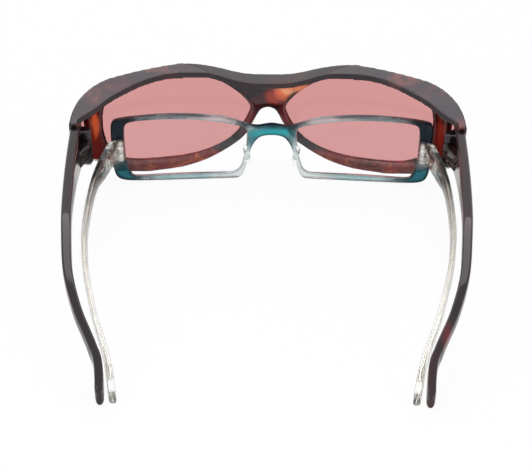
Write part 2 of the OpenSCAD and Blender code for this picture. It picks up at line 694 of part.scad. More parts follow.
// The core wire starts behind the leaf and ends in an arrow head
wire_start = temple_leaf_start + temple_leaf_len + 1;
wire_end = 0.93 * reader_arm_len;
wire_steps = 24;
head_r = wire_r * 1.9;
head_len = 3.4;
head_point = 0.12;
function wire_ring(d, r) = let (x = reader_out(d) - reader_thick(d) / 2,
    z = reader_top_z(d) - reader_tall(d) / 2)
        [for (i = [0:5]) [x + r * sin(i * 60), reader_axis_y - d, z + r * cos(i * 60)]];
function wire_rings(grow) = concat(
    [for (i = [0:wire_steps]) let (d = wire_start + (wire_end - wire_start) * i / wire_steps)
        wire_ring(i == 0 ? d - grow : d, wire_r + grow)],
    [wire_ring(wire_end + 0.6, head_r + grow),
        wire_ring(wire_end + head_len + 2 * grow, head_point + grow / 2)]);
module core_wire() {
    color("#9a9284") skin(wire_rings(0));
}
module core_wire_right() { reader_arm_right() core_wire(); }
module core_wire_left() { reader_arm_left() core_wire(); }

module reader_temple() {
    color("#cdd6d6", 0.8) difference() {
        intersection() {
            skin(reader_rings);
            above_table();
        }
        skin(wire_rings(groove_gap));
        at_temple_rivets() cylinder(r = rivet_r + groove_gap, h = rivet_len + groove_gap);
    }
}
module reader_temple_right() { reader_arm_right() reader_temple(); }
module reader_temple_left() { reader_arm_left() reader_temple(); }

cover_front();
cover_lens_left();
cover_lens_right();
side_lens_left();
side_lens_right();
cover_temple_left();
cover_temple_right();
cover_screw_left();
cover_screw_right();
reader_front();
reader_lens_left();
reader_lens_right();
nose_pad_left();
nose_pad_right();
front_leaf_left();
front_leaf_right();
temple_leaf_left();
temple_leaf_right();
reader_screw_left();
reader_screw_right();
front_rivets_left();
front_rivets_right();
temple_rivets_left();
temple_rivets_right();
reader_temple_left();
reader_temple_right();
core_wire_left();
core_wire_right();
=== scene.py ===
import json
import logging
import math
from dataclasses import dataclass, field
from enum import Enum
from typing import Callable

import bmesh
import bpy
from mathutils import Matrix, Vector
from mathutils.geometry import delaunay_2d_cdt
from mathutils.kdtree import KDTree

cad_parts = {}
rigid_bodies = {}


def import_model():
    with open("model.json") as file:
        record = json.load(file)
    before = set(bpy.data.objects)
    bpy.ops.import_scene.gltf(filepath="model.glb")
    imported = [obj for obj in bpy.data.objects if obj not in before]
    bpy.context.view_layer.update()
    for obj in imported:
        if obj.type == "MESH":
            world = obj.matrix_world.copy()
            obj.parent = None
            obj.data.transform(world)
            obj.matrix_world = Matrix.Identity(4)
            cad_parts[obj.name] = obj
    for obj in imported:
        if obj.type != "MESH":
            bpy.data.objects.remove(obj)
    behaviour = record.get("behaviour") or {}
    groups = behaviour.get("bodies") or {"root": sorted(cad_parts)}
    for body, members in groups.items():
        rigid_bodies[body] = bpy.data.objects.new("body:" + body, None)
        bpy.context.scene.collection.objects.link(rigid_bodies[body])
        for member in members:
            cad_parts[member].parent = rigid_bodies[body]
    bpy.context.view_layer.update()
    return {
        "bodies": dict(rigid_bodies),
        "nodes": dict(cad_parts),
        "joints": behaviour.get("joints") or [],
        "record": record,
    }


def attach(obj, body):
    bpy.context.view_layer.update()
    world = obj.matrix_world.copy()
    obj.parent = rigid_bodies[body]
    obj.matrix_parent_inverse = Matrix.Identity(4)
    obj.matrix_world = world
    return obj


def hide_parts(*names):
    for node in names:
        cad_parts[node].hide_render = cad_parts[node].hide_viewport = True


log = logging.getLogger("glasses")

MM = 0.001
JOIN = 1e-7
TIP_SINK = 0.4
Point = tuple[float, float]
Loop = list[Point]
Spot = tuple[float, float, float]
Colour = tuple[float, float, float]


class Side(Enum):
    """Which of the wearer's sides a piece is on, with the sign of its X."""

    LEFT = -1
    RIGHT = 1

    @property
    def word(self) -> str:
        """The word used in the names of nodes and bodies."""
        return self.name.lower()

    def mirror(self, p: Vector) -> Vector:
        """A point made for the right side, put on this side."""
        return Vector((self.value * p.x, p.y, p.z))


# Curves through a few points, by the rules that the model's own outlines use


def catmull(a: float, b: float, c: float, d: float, t: float) -> float:
    """One coordinate of a smooth curve between b and c.

    Args:
        a, b, c, d: four successive values.
        t: share of the way from b to c.

    Returns:
        The value at t.
    """
    return 0.5 * (2 * b + (c - a) * t + (2 * a - 5 * b + 4 * c - d) * t * t
                  + (3 * b - a - 3 * c + d) * t ** 3)


def curve_through(points: Loop, n: int, closed: bool) -> Loop:
    """A smooth curve through points.

    Args:
        points: the points.
        n: number of steps between each two.
        closed: whether it runs back to its first point.

    Returns:
        The points of the curve.
    """
    m = len(points)

    def near(i: int) -> Point:
        """The point of that number, wrapped round a closed curve and held at an open one's ends."""
        return points[i % m] if closed else points[min(max(i, 0), m - 1)]

    curve = [tuple(catmull(near(i - 1)[k], near(i)[k], near(i + 1)[k], near(i + 2)[k], j / n)
                   for k in (0, 1))
             for i in range(m if closed else m - 1) for j in range(n)]
    return curve if closed else curve + [points[-1]]


def look_up(x: float, table: Loop) -> float:
    """The value of a table at x.

    Args:
        x: where it is read.
        table: rows of x and value, in order of x.

    Returns:
        The value, with straight lines between the rows and level beyond them.
    """
    if x <= table[0][0]:
        return table[0][1]
    for (x0, v0), (x1, v1) in zip(table, table[1:]):
        if x <= x1:
            return v0 + (v1 - v0) * (x - x0) / (x1 - x0)
    return table[-1][1]


def ease(u: float) -> float:
    """A smooth step from 0 to 1 as u goes from 0 to 1."""
    return (1 - math.cos(math.pi * min(max(u, 0.0), 1.0))) / 2


def even(loop: Loop, step: float) -> Loop:
    """The same closed curve with its points one step apart.

    Args:
        loop: the closed curve.
        step: the distance between two points.

    Returns:
        The new points, of which the first is the old first one.
    """
    closed = loop + [loop[0]]
    runs = [math.dist(a, b) for a, b in zip(closed, closed[1:])]
    total = sum(runs)
    count = max(8, round(total / step))
    out, i, done = [], 0, 0.0
    for k in range(count):
        want = total * k / count
        while done + runs[i] < want:
            done += runs[i]
            i += 1
        f = (want - done) / max(runs[i], 1e-9)
        out.append(tuple(closed[i][j] + f * (closed[i + 1][j] - closed[i][j]) for j in (0, 1)))
    return out


def spread(shares: Loop, x0: float, x1: float, z0: float, z1: float) -> Loop:
    """Shares of a width and a height, made an outline between the given sides."""
    return [(x0 + a * (x1 - x0), z0 + b * (z1 - z0)) for a, b in shares]


def inset(loop: Loop, by: float) -> Loop:
    """A loop moved inwards by a distance.

    Args:
        loop: the loop, which runs the left-hand way round.
        by: the distance.

    Returns:
        A loop with as many points.
    """
    out = []
    for i, p in enumerate(loop):
        a, b = Vector(loop[i - 1]), Vector(loop[(i + 1) % len(loop)])
        t = (b - a).normalized()
        out.append((p[0] - by * t.y, p[1] + by * t.x))
    return out


def left_handed(loop: Loop) -> Loop:
    """The loop, turned about where it runs the wrong way round."""
    area = sum(a[0] * b[1] - b[0] * a[1] for a, b in zip(loop, loop[1:] + loop[:1]))
    return loop if area > 0 else loop[::-1]


def inside(p: Point, loop: Loop) -> bool:
    """Whether a point lies inside a closed loop.

    Args:
        p: the point.
        loop: the loop.

    Returns:
        True where it lies inside.
    """
    hit = False
    for (x0, y0), (x1, y1) in zip(loop, loop[1:] + loop[:1]):
        if (y0 > p[1]) != (y1 > p[1]) and p[0] < x0 + (p[1] - y0) * (x1 - x0) / (y1 - y0):
            hit = not hit
    return hit


def near_tree(points: Loop) -> KDTree:
    """A tree that finds the nearest of flat points.

    Args:
        points: the points.

    Returns:
        The tree, ready for use.
    """
    tree = KDTree(len(points))
    for i, p in enumerate(points):
        tree.insert((*p, 0), i)
    tree.balance()
    return tree


def stations(first: float, last: float, count: int = 24) -> Loop:
    """Even places along a bar: the share of its length, and the distance behind the hinge."""
    return [(i / count, first + (last - first) * i / count) for i in range(count + 1)]


# Meshes


def keep(mesh: bpy.types.Mesh, name: str) -> bpy.types.Object:
    """Links a mesh to the scene as an object of that name, with smooth faces.

    Args:
        mesh: the mesh.
        name: the name of both.

    Returns:
        The object.
    """
    mesh.name = name
    obj = bpy.data.objects.new(name, mesh)
    bpy.context.scene.collection.objects.link(obj)
    for face in mesh.polygons:
        face.use_smooth = True
    return obj


def outwards(obj: bpy.types.Object, flip: bool = False, join: float = JOIN) -> None:
    """Merges doubled points and turns every face outwards.

    Args:
        obj: the object, whose mesh is closed.
        flip: whether it is mirrored to the other side of X first.
        join: distance under which two points are one, in metres.
    """
    bm = bmesh.new()
    bm.from_mesh(obj.data)
    if flip:
        bmesh.ops.scale(bm, vec=(-1, 1, 1), verts=bm.verts)
    bmesh.ops.remove_doubles(bm, verts=bm.verts, dist=join)
    bmesh.ops.recalc_face_normals(bm, faces=bm.faces)
    if bm.calc_volume(signed=True) < 0:
        bmesh.ops.reverse_faces(bm, faces=bm.faces)
    bm.to_mesh(obj.data)
    bm.free()
    for face in obj.data.polygons:
        face.use_smooth = True


def settled(obj: bpy.types.Object) -> bpy.types.Object:
    """Turns an object with modifiers into a plain mesh that has none.

    Args:
        obj: the object, which is removed.

    Returns:
        A new object of the same name.
    """
    graph = bpy.context.evaluated_depsgraph_get()
    mesh = bpy.data.meshes.new_from_object(obj.evaluated_get(graph), depsgraph=graph)
    name = obj.name
    old = obj.data
    bpy.data.objects.remove(obj)
    if isinstance(old, bpy.types.Mesh):
        bpy.data.meshes.remove(old)
    return keep(mesh, name)


def drop_crumbs(obj: bpy.types.Object, least: int) -> None:
    """Removes small loose shells, which even meshing can leave.

    Args:
        obj: the object.
        least: number of faces of the smallest shell that stays.
    """
    bm = bmesh.new()
    bm.from_mesh(obj.data)
    left = set(bm.faces)
    while left:
        shell = [left.pop()]
        for face in shell:
            near = {f for edge in face.edges for f in edge.link_faces} & left
            left -= near
            shell.extend(near)
        if len(shell) < least:
            bmesh.ops.delete(bm, geom=shell, context="FACES")
    bm.to_mesh(obj.data)
    bm.free()


def even_normals(obj: bpy.types.Object) -> None:
    """Gives each point the normal of its larger faces, so that a sheet bends no light by itself.

    Args:
        obj: the object.
    """
    mesh = obj.data
    normals = [Vector() for _ in mesh.vertices]
    for face in mesh.polygons:
        for i in face.vertices:
            normals[i] += face.normal * face.area
    mesh.normals_split_custom_set_from_vertices([n.normalized() for n in normals])


@dataclass
class Plate:
    """A moulded sheet with holes and rounded edges, laid on a curved surface.

    Outline and holes are in millimetres across and up; place takes across, up and the
    distance out of the middle of the sheet, and gives the point in millimetres.
    """

    outline: Loop
    place: Callable[[float, float, float], Vector]
    thickness: float
    edge: float
    holes: list[Loop] = field(default_factory=list)
    step: float = 1.6
    round_steps: int = 4
    row_share: float = 0.866
    rim_share: float = 0.62

    def _grid(self, rim: list[Loop]) -> Loop:
        """Points for the middle of the sheet, in staggered rows.

        Args:
            rim: the loops that bound the middle, of which the first is the outer one.

        Returns:
            The points, which keep clear of the rim.
        """
        tree = near_tree([p for r in rim for p in r])
        low_x, low_z = (min(p[k] for p in rim[0]) for k in (0, 1))
        high_x, high_z = (max(p[k] for p in rim[0]) for k in (0, 1))
        found = []
        rise = self.step * self.row_share
        rows = int((high_z - low_z) / rise) + 1
        cols = int((high_x - low_x) / self.step) + 2
        for j in range(rows):
            for i in range(cols):
                p = (low_x + (i + 0.5 * (j % 2)) * self.step, low_z + j * rise)
                if tree.find((*p, 0))[2] >= self.rim_share * self.step and self._solid(p, rim):
                    found.append(p)
        return found

    def _solid(self, p: Point, rim: list[Loop]) -> bool:
        """Whether a point lies in the sheet's middle and in none of its holes."""
        return inside(p, rim[0]) and not any(inside(p, hole) for hole in rim[1:])

    def _faces(self, bm: bmesh.types.BMesh, rim: list[Loop],
               point: Callable[[float, float, float], bmesh.types.BMVert]) -> dict:
        """Makes the two faces of the sheet, without its rounded edges.

        Args:
            bm: the mesh.
            rim: the loops that bound the faces.
            point: makes a point of the mesh.

        Returns:
            The mesh's points on the rim, by face (1 or -1) and number on the rim.
        """
        edges, base = [], 0
        for r in rim:
            edges += [(base + i, base + (i + 1) % len(r)) for i in range(len(r))]
            base += len(r)
        flat = [Vector(p) for p in [q for r in rim for q in r] + self._grid(rim)]
        verts, _, faces, origin, _, _ = delaunay_2d_cdt(flat, edges, [], 0, 1e-5)
        spot, layers = {}, {}
        for way in (1, -1):
            layers[way] = [point(v.x, v.y, way * self.thickness / 2) for v in verts]
            for vert, sources in zip(layers[way], origin):
                spot.update({(way, number): vert for number in sources})
        for f in faces:
            if self._solid((sum(verts[i].x for i in f) / 3, sum(verts[i].y for i in f) / 3), rim):
                for way in (1, -1):
                    bm.faces.new([layers[way][i] for i in f])
        return spot

    def build(self, name: str) -> bpy.types.Object:
        """Builds the sheet as a closed mesh.

        Args:
            name: name of the new object.

        Returns:
            The object, at the origin, in metres.
        """
        turns = [math.pi / 2 * k / self.round_steps for k in range(self.round_steps + 1)]
        arcs = [(self.edge * (1 - math.cos(a)), self.edge * (1 - math.sin(a))) for a in turns]
        loops = [(left_handed(self.outline), 1)] + [(left_handed(h), -1) for h in self.holes]
        rings = [[inset(loop, sign * far) for far, _ in arcs] for loop, sign in loops]
        bm = bmesh.new()
        gap = bm.verts.layers.float.new("rim_gap")
        edge = near_tree([p for ring in rings for p in ring[0]])

        def point(x: float, z: float, out: float) -> bmesh.types.BMVert:
            """A new point of the sheet, which keeps its distance from the nearest rim.

            Args:
                x, z: how far across and up it is.
                out: how far out of the middle of the sheet.

            Returns:
                The mesh's point.
            """
            vert = bm.verts.new(self.place(x, z, out) * MM)
            vert[gap] = edge.find((x, z, 0))[2]
            return vert

        spot = self._faces(bm, [ring[-1] for ring in rings], point)
        base = 0
        for ring in rings:
            n = len(ring[0])
            after = [(i + 1) % n for i in range(n)]
            last = {}
            for way in (1, -1):
                last[way] = [spot[way, base + i] for i in range(n)]
                for k in range(self.round_steps - 1, -1, -1):
                    new = [point(*p, way * (self.thickness / 2 - arcs[k][1])) for p in ring[k]]
                    for i, j in enumerate(after):
                        bm.faces.new([last[way][i], last[way][j], new[j], new[i]])
                    last[way] = new
            for i, j in enumerate(after):
                bm.faces.new([last[1][i], last[1][j], last[-1][j], last[-1][i]])
            base += n
        mesh = bpy.data.meshes.new(name)
        bmesh.ops.remove_doubles(bm, verts=bm.verts, dist=JOIN)
        bmesh.ops.recalc_face_normals(bm, faces=bm.faces)
        bm.to_mesh(mesh)
        bm.free()
        piece = keep(mesh, name)
        even_normals(piece)
        return piece


# Node trees


class Wiring:
    """Puts nodes in a tree and joins them."""

    def __init__(self, tree: bpy.types.NodeTree) -> None:
        """Starts with the tree that the nodes go in."""
        self.tree = tree

    def add(self, kind: str, values: dict | None = None, **settings: object) -> bpy.types.Node:
        """Adds a node.

        Args:
            kind: the node's type.
            values: what goes into its inputs, by name or number: a socket or a constant.
            settings: its properties.

        Returns:
            The node.
        """
        node = self.tree.nodes.new(kind)
        for key, value in settings.items():
            setattr(node, key, value)
        for key, value in (values or {}).items():
            if isinstance(value, bpy.types.NodeSocket):
                self.tree.links.new(value, node.inputs[key])
            else:
                node.inputs[key].default_value = value
        return node

    def math(self, operation: str, a: object, b: object = 0.0,
             c: object = None) -> bpy.types.NodeSocket:
        """One step of arithmetic on sockets or numbers."""
        values = {0: a, 1: b} if c is None else {0: a, 1: b, 2: c}
        return self.add("ShaderNodeMath", values, operation=operation).outputs[0]

    def times(self, a: object, b: object) -> bpy.types.NodeSocket:
        """Two values multiplied."""
        return self.math("MULTIPLY", a, b)

    def vector(self, operation: str, a: object, b: object = (0, 0, 0)) -> bpy.types.Node:
        """One step of vector arithmetic."""
        return self.add("ShaderNodeVectorMath", {0: a, 1: b}, operation=operation)

    def curve(self, x: object, points: Loop) -> bpy.types.NodeSocket:
        """A value read off a smooth curve.

        Args:
            x: where it is read, from 0 to 1.
            points: points of the curve.

        Returns:
            The value.
        """
        node = self.add("ShaderNodeFloatCurve", {"Value": x})
        mapping = node.mapping
        mapping.use_clip = False
        line = mapping.curves[0]
        line.points[0].location = points[0]
        line.points[1].location = points[-1]
        for p in points[1:-1]:
            line.points.new(*p)
        for p in line.points:
            p.handle_type = "AUTO_CLAMPED"
        mapping.update()
        return node.outputs[0]

    def end(self, last: bpy.types.Node) -> None:
        """Ends a geometry tree: real meshes, in the finish that the tree is given.

        Args:
            last: the node that makes the geometry.
        """
        real = self.add("GeometryNodeRealizeInstances", {"Geometry": last.outputs[0]})
        finish = self.tree.nodes["Group Input"].outputs["Finish"]
        dressed = self.add("GeometryNodeSetMaterial", {"Geometry": real.outputs[0],
                                                       "Material": finish})
        self.tree.links.new(dressed.outputs[0], self.tree.nodes["Group Output"].inputs[0])

    def mix(self, share: object, a: object, b: object, blend: str = "MIX") -> bpy.types.NodeSocket:
        """Two colours mixed by a share."""
        return self.add("ShaderNodeMix", {0: share, 6: a, 7: b}, data_type="RGBA",
                        blend_type=blend).outputs[2]

    def fade(self, value: object, low: float, high: float, a: float = 0,
             b: float = 1) -> bpy.types.NodeSocket:
        """A value that is smoothly turned into another.

        Args:
            value: the value.
            low: where the new value starts from a.
            high: where it reaches b.
            a, b: the ends of the new value.

        Returns:
            The new value.
        """
        return self.add("ShaderNodeMapRange", {"Value": value, "From Min": low, "From Max": high,
                                               "To Min": a, "To Max": b},
                        interpolation_type="SMOOTHSTEP").outputs[0]


def new_group(name: str, kind: str,
              sockets: list[tuple[str, str, str, object]]) -> bpy.types.NodeTree:
    """A node group with named sockets.

    Args:
        name: the group's name.
        kind: type of the tree.
        sockets: name, direction, socket type and starting value of each.

    Returns:
        The tree, which holds its input and output nodes.
    """
    tree = bpy.data.node_groups.new(name, kind)
    for title, way, socket, value in sockets:
        made = tree.interface.new_socket(title, in_out=way, socket_type=socket)
        if value is not None:
            made.default_value = value
    tree.nodes.new("NodeGroupInput")
    tree.nodes.new("NodeGroupOutput")
    return tree


def run_tree(name: str, tree: bpy.types.NodeTree, values: dict[str, object]) -> bpy.types.Object:
    """Runs a geometry tree once and keeps what it makes as a plain mesh.

    Args:
        name: name of the new object.
        tree: the geometry tree.
        values: what its named inputs are set to.

    Returns:
        The object.
    """
    obj = bpy.data.objects.new(name, bpy.data.meshes.new(name))
    bpy.context.scene.collection.objects.link(obj)
    modifier = obj.modifiers.new("shape", "NODES")
    modifier.node_group = tree
    for item in tree.interface.items_tree:
        if item.in_out == "INPUT" and item.name in values:
            modifier[item.identifier] = values[item.name]
    return settled(obj)


@dataclass
class Bar:
    """A bar of a temple: rings of one rounded section, run back from the hinge.

    Sizes are in millimetres, by the names in the tree. The curves give shares along the
    bar: of the toe-in, of the drop, of the way from tip thickness to full thickness, and of
    the way from least height to full height.
    """

    name: str
    finish: bpy.types.Material
    sizes: dict[str, float]
    plan: Loop
    drop: Loop
    thick: Loop
    tall: Loop
    rings: int
    points: int
    squareness: float = 5.0

    def _tree(self) -> bpy.types.NodeTree:
        """Makes the bar's tree, with its sizes as named inputs in metres.

        Returns:
            The tree.
        """
        tree = new_group(self.name, "GeometryNodeTree",
                         [(s, "INPUT", "NodeSocketFloat", 0.0) for s in (*self.sizes, "Squareness")]
                         + [("Finish", "INPUT", "NodeSocketMaterial", None),
                            ("Geometry", "OUTPUT", "NodeSocketGeometry", None)])
        w = Wiring(tree)
        m = w.math
        size = tree.nodes["Group Input"].outputs
        grid = w.add("GeometryNodeMeshGrid", {"Size X": 1.0, "Size Y": 1.0,
                                              "Vertices X": self.rings + 1,
                                              "Vertices Y": self.points + 1})
        at = w.add("ShaderNodeSeparateXYZ", {0: w.add("GeometryNodeInputPosition").outputs[0]})
        ring = m("ADD", at.outputs[0], 0.5)
        inner = w.add("ShaderNodeMapRange", {"Value": ring, "From Min": 1 / self.rings,
                                             "From Max": 1 - 1 / self.rings}).outputs[0]
        u = m("MULTIPLY", m("SUBTRACT", 1.0, m("COSINE", m("MULTIPLY", inner, math.pi))), 0.5)
        place = m("ROUND", m("MULTIPLY", m("ADD", at.outputs[1], 0.5), float(self.points)))
        turn = m("MULTIPLY", m("FLOORED_MODULO", place, float(self.points)),
                 2 * math.pi / self.points)
        along = m("MULTIPLY", u, size["Length"])
        to_tip = m("SUBTRACT", size["Length"], along)
        cuts = []
        for gap, radius in ((along, size["Front Round"]), (to_tip, size["Tip Round"])):
            q = m("MAXIMUM", m("SUBTRACT", 1.0, m("DIVIDE", gap, radius)), 0.0)
            arc = m("SQRT", m("MAXIMUM", m("SUBTRACT", 1.0, m("MULTIPLY", q, q)), 0.0))
            cuts.append(m("MULTIPLY", radius, m("SUBTRACT", 1.0, arc)))
        cut = m("MAXIMUM", cuts[0], cuts[1])
        caps = m("MULTIPLY", m("GREATER_THAN", ring, 0.5 / self.rings),
                 m("LESS_THAN", ring, 1 - 0.5 / self.rings))

        def between(low: str, high: str, curve: Loop) -> bpy.types.NodeSocket:
            """A size that goes between two named inputs by a curve along the length."""
            more = m("SUBTRACT", size[high], size[low])
            return m("MULTIPLY_ADD", w.curve(u, curve), more, size[low])

        def half(value: bpy.types.NodeSocket) -> bpy.types.NodeSocket:
            """Half of a size, less what the rounded ends take off."""
            return m("MULTIPLY", m("SUBTRACT", m("MULTIPLY", value, 0.5), cut), caps)

        def rounded(wave: str) -> bpy.types.NodeSocket:
            """One coordinate of the section, squarer than a circle.

            Args:
                wave: SINE for up, COSINE for across.

            Returns:
                The coordinate, from -1 to 1.
            """
            value = m(wave, turn)
            bent = m("POWER", m("ABSOLUTE", value), m("DIVIDE", 2.0, size["Squareness"]))
            return m("MULTIPLY", bent, m("SIGN", value))

        thickness = between("Tip Thickness", "Thickness", self.thick)
        height = between("Least Height", "Height", self.tall)
        across = m("SUBTRACT", size["Out"], m("MULTIPLY", size["Toe"], w.curve(u, self.plan)))
        across = m("SUBTRACT", across, m("MULTIPLY", thickness, 0.5))
        up = m("SUBTRACT", size["Top"], m("MULTIPLY", size["Drop"], w.curve(u, self.drop)))
        up = m("SUBTRACT", up, m("MULTIPLY", height, 0.5))
        z = m("MULTIPLY_ADD", half(height), rounded("SINE"), up)
        spot = w.add("ShaderNodeCombineXYZ",
                     {0: m("MULTIPLY_ADD", half(thickness), rounded("COSINE"), across),
                      1: m("SUBTRACT", size["Start"], along), 2: m("MAXIMUM", z, 0.0)})
        moved = w.add("GeometryNodeSetPosition", {"Geometry": grid.outputs[0],
                                                  "Position": spot.outputs[0]})
        joined = w.add("GeometryNodeMergeByDistance", {"Geometry": moved.outputs[0],
                                                       "Distance": 2 * JOIN})
        w.end(joined)
        return tree

    def build(self) -> bpy.types.Object:
        """Runs the tree and keeps the bar as a plain mesh.

        Returns:
            The object.
        """
        values = {name: value * MM for name, value in self.sizes.items()}
        return run_tree(self.name, self._tree(),
                        {**values, "Squareness": self.squareness, "Finish": self.finish})


def turned_tree(name: str, profile: Loop) -> bpy.types.NodeTree:
    """A tree that makes turned parts, such as knuckles, one above the other.

    Args:
        name: the tree's name.
        profile: radius as a share of the full one, along the height from foot to head.

    Returns:
        The tree, with its sizes as named inputs in metres.
    """
    tree = new_group(name, "GeometryNodeTree",
                     [(s, "INPUT", "NodeSocketFloat", 0.0) for s in ("Radius", "Height", "Pitch")]
                     + [("Count", "INPUT", "NodeSocketInt", 1),
                        ("Finish", "INPUT", "NodeSocketMaterial", None),
                        ("Geometry", "OUTPUT", "NodeSocketGeometry", None)])
    w = Wiring(tree)
    size = tree.nodes["Group Input"].outputs
    rod = w.add("GeometryNodeMeshCylinder", {"Vertices": 32, "Side Segments": 24,
                                             "Fill Segments": 1, "Radius": size["Radius"],
                                             "Depth": size["Height"]})
    at = w.add("ShaderNodeSeparateXYZ", {0: w.add("GeometryNodeInputPosition").outputs[0]})
    share = w.math("ADD", w.math("DIVIDE", at.outputs[2], size["Height"]), 0.5)
    radius = w.curve(share, profile)
    spot = w.add("ShaderNodeCombineXYZ", {0: w.math("MULTIPLY", at.outputs[0], radius),
                                          1: w.math("MULTIPLY", at.outputs[1], radius),
                                          2: at.outputs[2]})
    shaped = w.add("GeometryNodeSetPosition", {"Geometry": rod.outputs[0],
                                               "Position": spot.outputs[0]})
    step = w.add("ShaderNodeCombineXYZ", {2: size["Pitch"]})
    line = w.add("GeometryNodeMeshLine", {"Count": size["Count"], "Offset": step.outputs[0]})
    many = w.add("GeometryNodeInstanceOnPoints", {"Points": line.outputs[0],
                                                  "Instance": shaped.outputs[0]})
    w.end(many)
    return tree


# Finishes


def patch_group() -> bpy.types.NodeTree:
    """A soft patch round a point, for colour that is cast into the plastic at one place, and for
    painted glow where light shines through it.

    Returns:
        The group, whose mask is 1 in the patch and fades round it.
    """
    tree = new_group("soft_patch", "ShaderNodeTree",
                     [("Vector", "INPUT", "NodeSocketVector", None),
                      ("Centre", "INPUT", "NodeSocketVector", None),
                      ("Reach", "INPUT", "NodeSocketVector", (0.01, 0.01, 0.01)),
                      ("Mask", "OUTPUT", "NodeSocketFloat", None)])
    w = Wiring(tree)
    given = tree.nodes["Group Input"].outputs
    away = w.vector("SUBTRACT", given["Vector"], given["Centre"]).outputs[0]
    away = w.vector("DIVIDE", away, given["Reach"])
    wander = w.add("ShaderNodeTexNoise", {"Vector": given["Vector"], "Scale": 170.0, "Detail": 3.0})
    wander_by = 1.1
    far = w.math("ADD", w.vector("LENGTH", away.outputs[0]).outputs["Value"],
                 w.math("MULTIPLY_ADD", wander.outputs[0], wander_by, -wander_by / 2))
    tree.links.new(w.fade(far, 0.3, 1.1, 1, 0), tree.nodes["Group Output"].inputs[0])
    return tree


def handling_group() -> bpy.types.NodeTree:
    """The faint unevenness of a handled, polished surface.

    Returns:
        The group, which gives roughness and height.
    """
    tree = new_group("handling", "ShaderNodeTree",
                     [("Vector", "INPUT", "NodeSocketVector", None),
                      ("Roughness", "INPUT", "NodeSocketFloat", 0.1),
                      ("Smears", "INPUT", "NodeSocketFloat", 0.05),
                      ("Roughness", "OUTPUT", "NodeSocketFloat", None),
                      ("Height", "OUTPUT", "NodeSocketFloat", None)])
    w = Wiring(tree)
    given = tree.nodes["Group Input"].outputs
    smear = w.add("ShaderNodeTexNoise", {"Vector": given["Vector"], "Scale": 70.0, "Detail": 4.0,
                                         "Distortion": 0.6})
    fine = w.add("ShaderNodeTexNoise", {"Vector": given["Vector"], "Scale": 900.0, "Detail": 2.0})
    smeared = w.fade(smear.outputs[0], 0.4, 0.7)
    rough = w.math("MULTIPLY_ADD", smeared, given["Smears"], given["Roughness"])
    out = tree.nodes["Group Output"].inputs
    tree.links.new(rough, out["Roughness"])
    tree.links.new(w.math("MULTIPLY_ADD", fine.outputs[0], 0.3, smear.outputs[0]), out["Height"])
    return tree


class Palette:
    """The node groups that finishes share, made once."""

    def __init__(self) -> None:
        """Makes the groups."""
        self.patch = patch_group()
        self.handling = handling_group()


@dataclass(frozen=True)
class Patch:
    """A patch of colour that is cast in, also used for painted glow where light shines through: its
    centre and reach in metres, and its colour.
    """

    centre: Spot
    reach: Spot
    colour: Colour
    strength: float = 1.0


class Finish:
    """A material under construction, with its shader and the piece's own coordinates."""

    def __init__(self, name: str, palette: Palette) -> None:
        """Starts a material.

        Args:
            name: its name.
            palette: the shared groups.
        """
        self.material = bpy.data.materials.new(name)
        self.material.use_nodes = True
        self.palette = palette
        self.w = Wiring(self.material.node_tree)
        self.shader = self.material.node_tree.nodes["Principled BSDF"]
        self.out = self.material.node_tree.nodes["Material Output"]
        self.here = self.w.add("ShaderNodeTexCoord").outputs["Object"]

    def set(self, **values: object) -> None:
        """Sets the shader's inputs.

        Args:
            values: a socket or a constant for each input, named with _ for a space.
        """
        for key, value in values.items():
            socket = self.shader.inputs[key.replace("_", " ")]
            if isinstance(value, bpy.types.NodeSocket):
                self.material.node_tree.links.new(value, socket)
            else:
                socket.default_value = value

    def noise(self, scale: float, detail: float = 3.0, distortion: float = 0.0,
              stretch: Spot = (1, 1, 1)) -> bpy.types.NodeSocket:
        """A noise value over the piece.

        Args:
            scale: how fine it is, per metre.
            detail: how many finer layers it has.
            distortion: how far it is twisted.
            stretch: scale along each axis.

        Returns:
            The value.
        """
        moved = self.w.add("ShaderNodeMapping", {"Vector": self.here, "Scale": stretch})
        return self.w.add("ShaderNodeTexNoise", {"Vector": moved.outputs[0], "Scale": scale,
                                                 "Detail": detail,
                                                 "Distortion": distortion}).outputs[0]

    def handled(self, roughness: float, smears: float, bump: float) -> None:
        """Adds the unevenness of a handled surface to roughness and normal.

        Args:
            roughness: the least roughness.
            smears: what smears add to it.
            bump: strength of the bump.
        """
        group = self.w.add("ShaderNodeGroup", {"Vector": self.here, "Roughness": roughness,
                                               "Smears": smears}, node_tree=self.palette.handling)
        bumped = self.w.add("ShaderNodeBump", {"Height": group.outputs["Height"], "Strength": bump,
                                               "Distance": 0.2 * MM})
        self.set(Roughness=group.outputs["Roughness"], Normal=bumped.outputs[0])

    def patches(self, colour: object, patches: tuple[Patch, ...],
                broken: object = 1.0) -> bpy.types.NodeSocket:
        """Lays patches of colour over a colour, in order.

        Args:
            colour: the colour under them.
            patches: the patches.
            broken: share that thins them out, which may vary over the piece.

        Returns:
            The colour with the patches on it.
        """
        for patch in patches:
            group = self.w.add("ShaderNodeGroup", {"Vector": self.here, "Centre": patch.centre,
                                                   "Reach": patch.reach},
                               node_tree=self.palette.patch)
            share = self.w.times(self.w.times(group.outputs[0], patch.strength), broken)
            colour = self.w.mix(share, colour, (*patch.colour, 1))
        return colour

    def lets_light_by(self, tint: Colour) -> None:
        """Lets shadow rays through in a tint, as thin clear plastic does.

        Args:
            tint: the tint.
        """
        clear = self.w.add("ShaderNodeBsdfTransparent", {"Color": (*tint, 1)})
        path = self.w.add("ShaderNodeLightPath")
        mixed = self.w.add("ShaderNodeMixShader", {0: path.outputs["Is Shadow Ray"],
                                                   1: self.shader.outputs[0], 2: clear.outputs[0]})
        self.material.node_tree.links.new(mixed.outputs[0], self.out.inputs["Surface"])


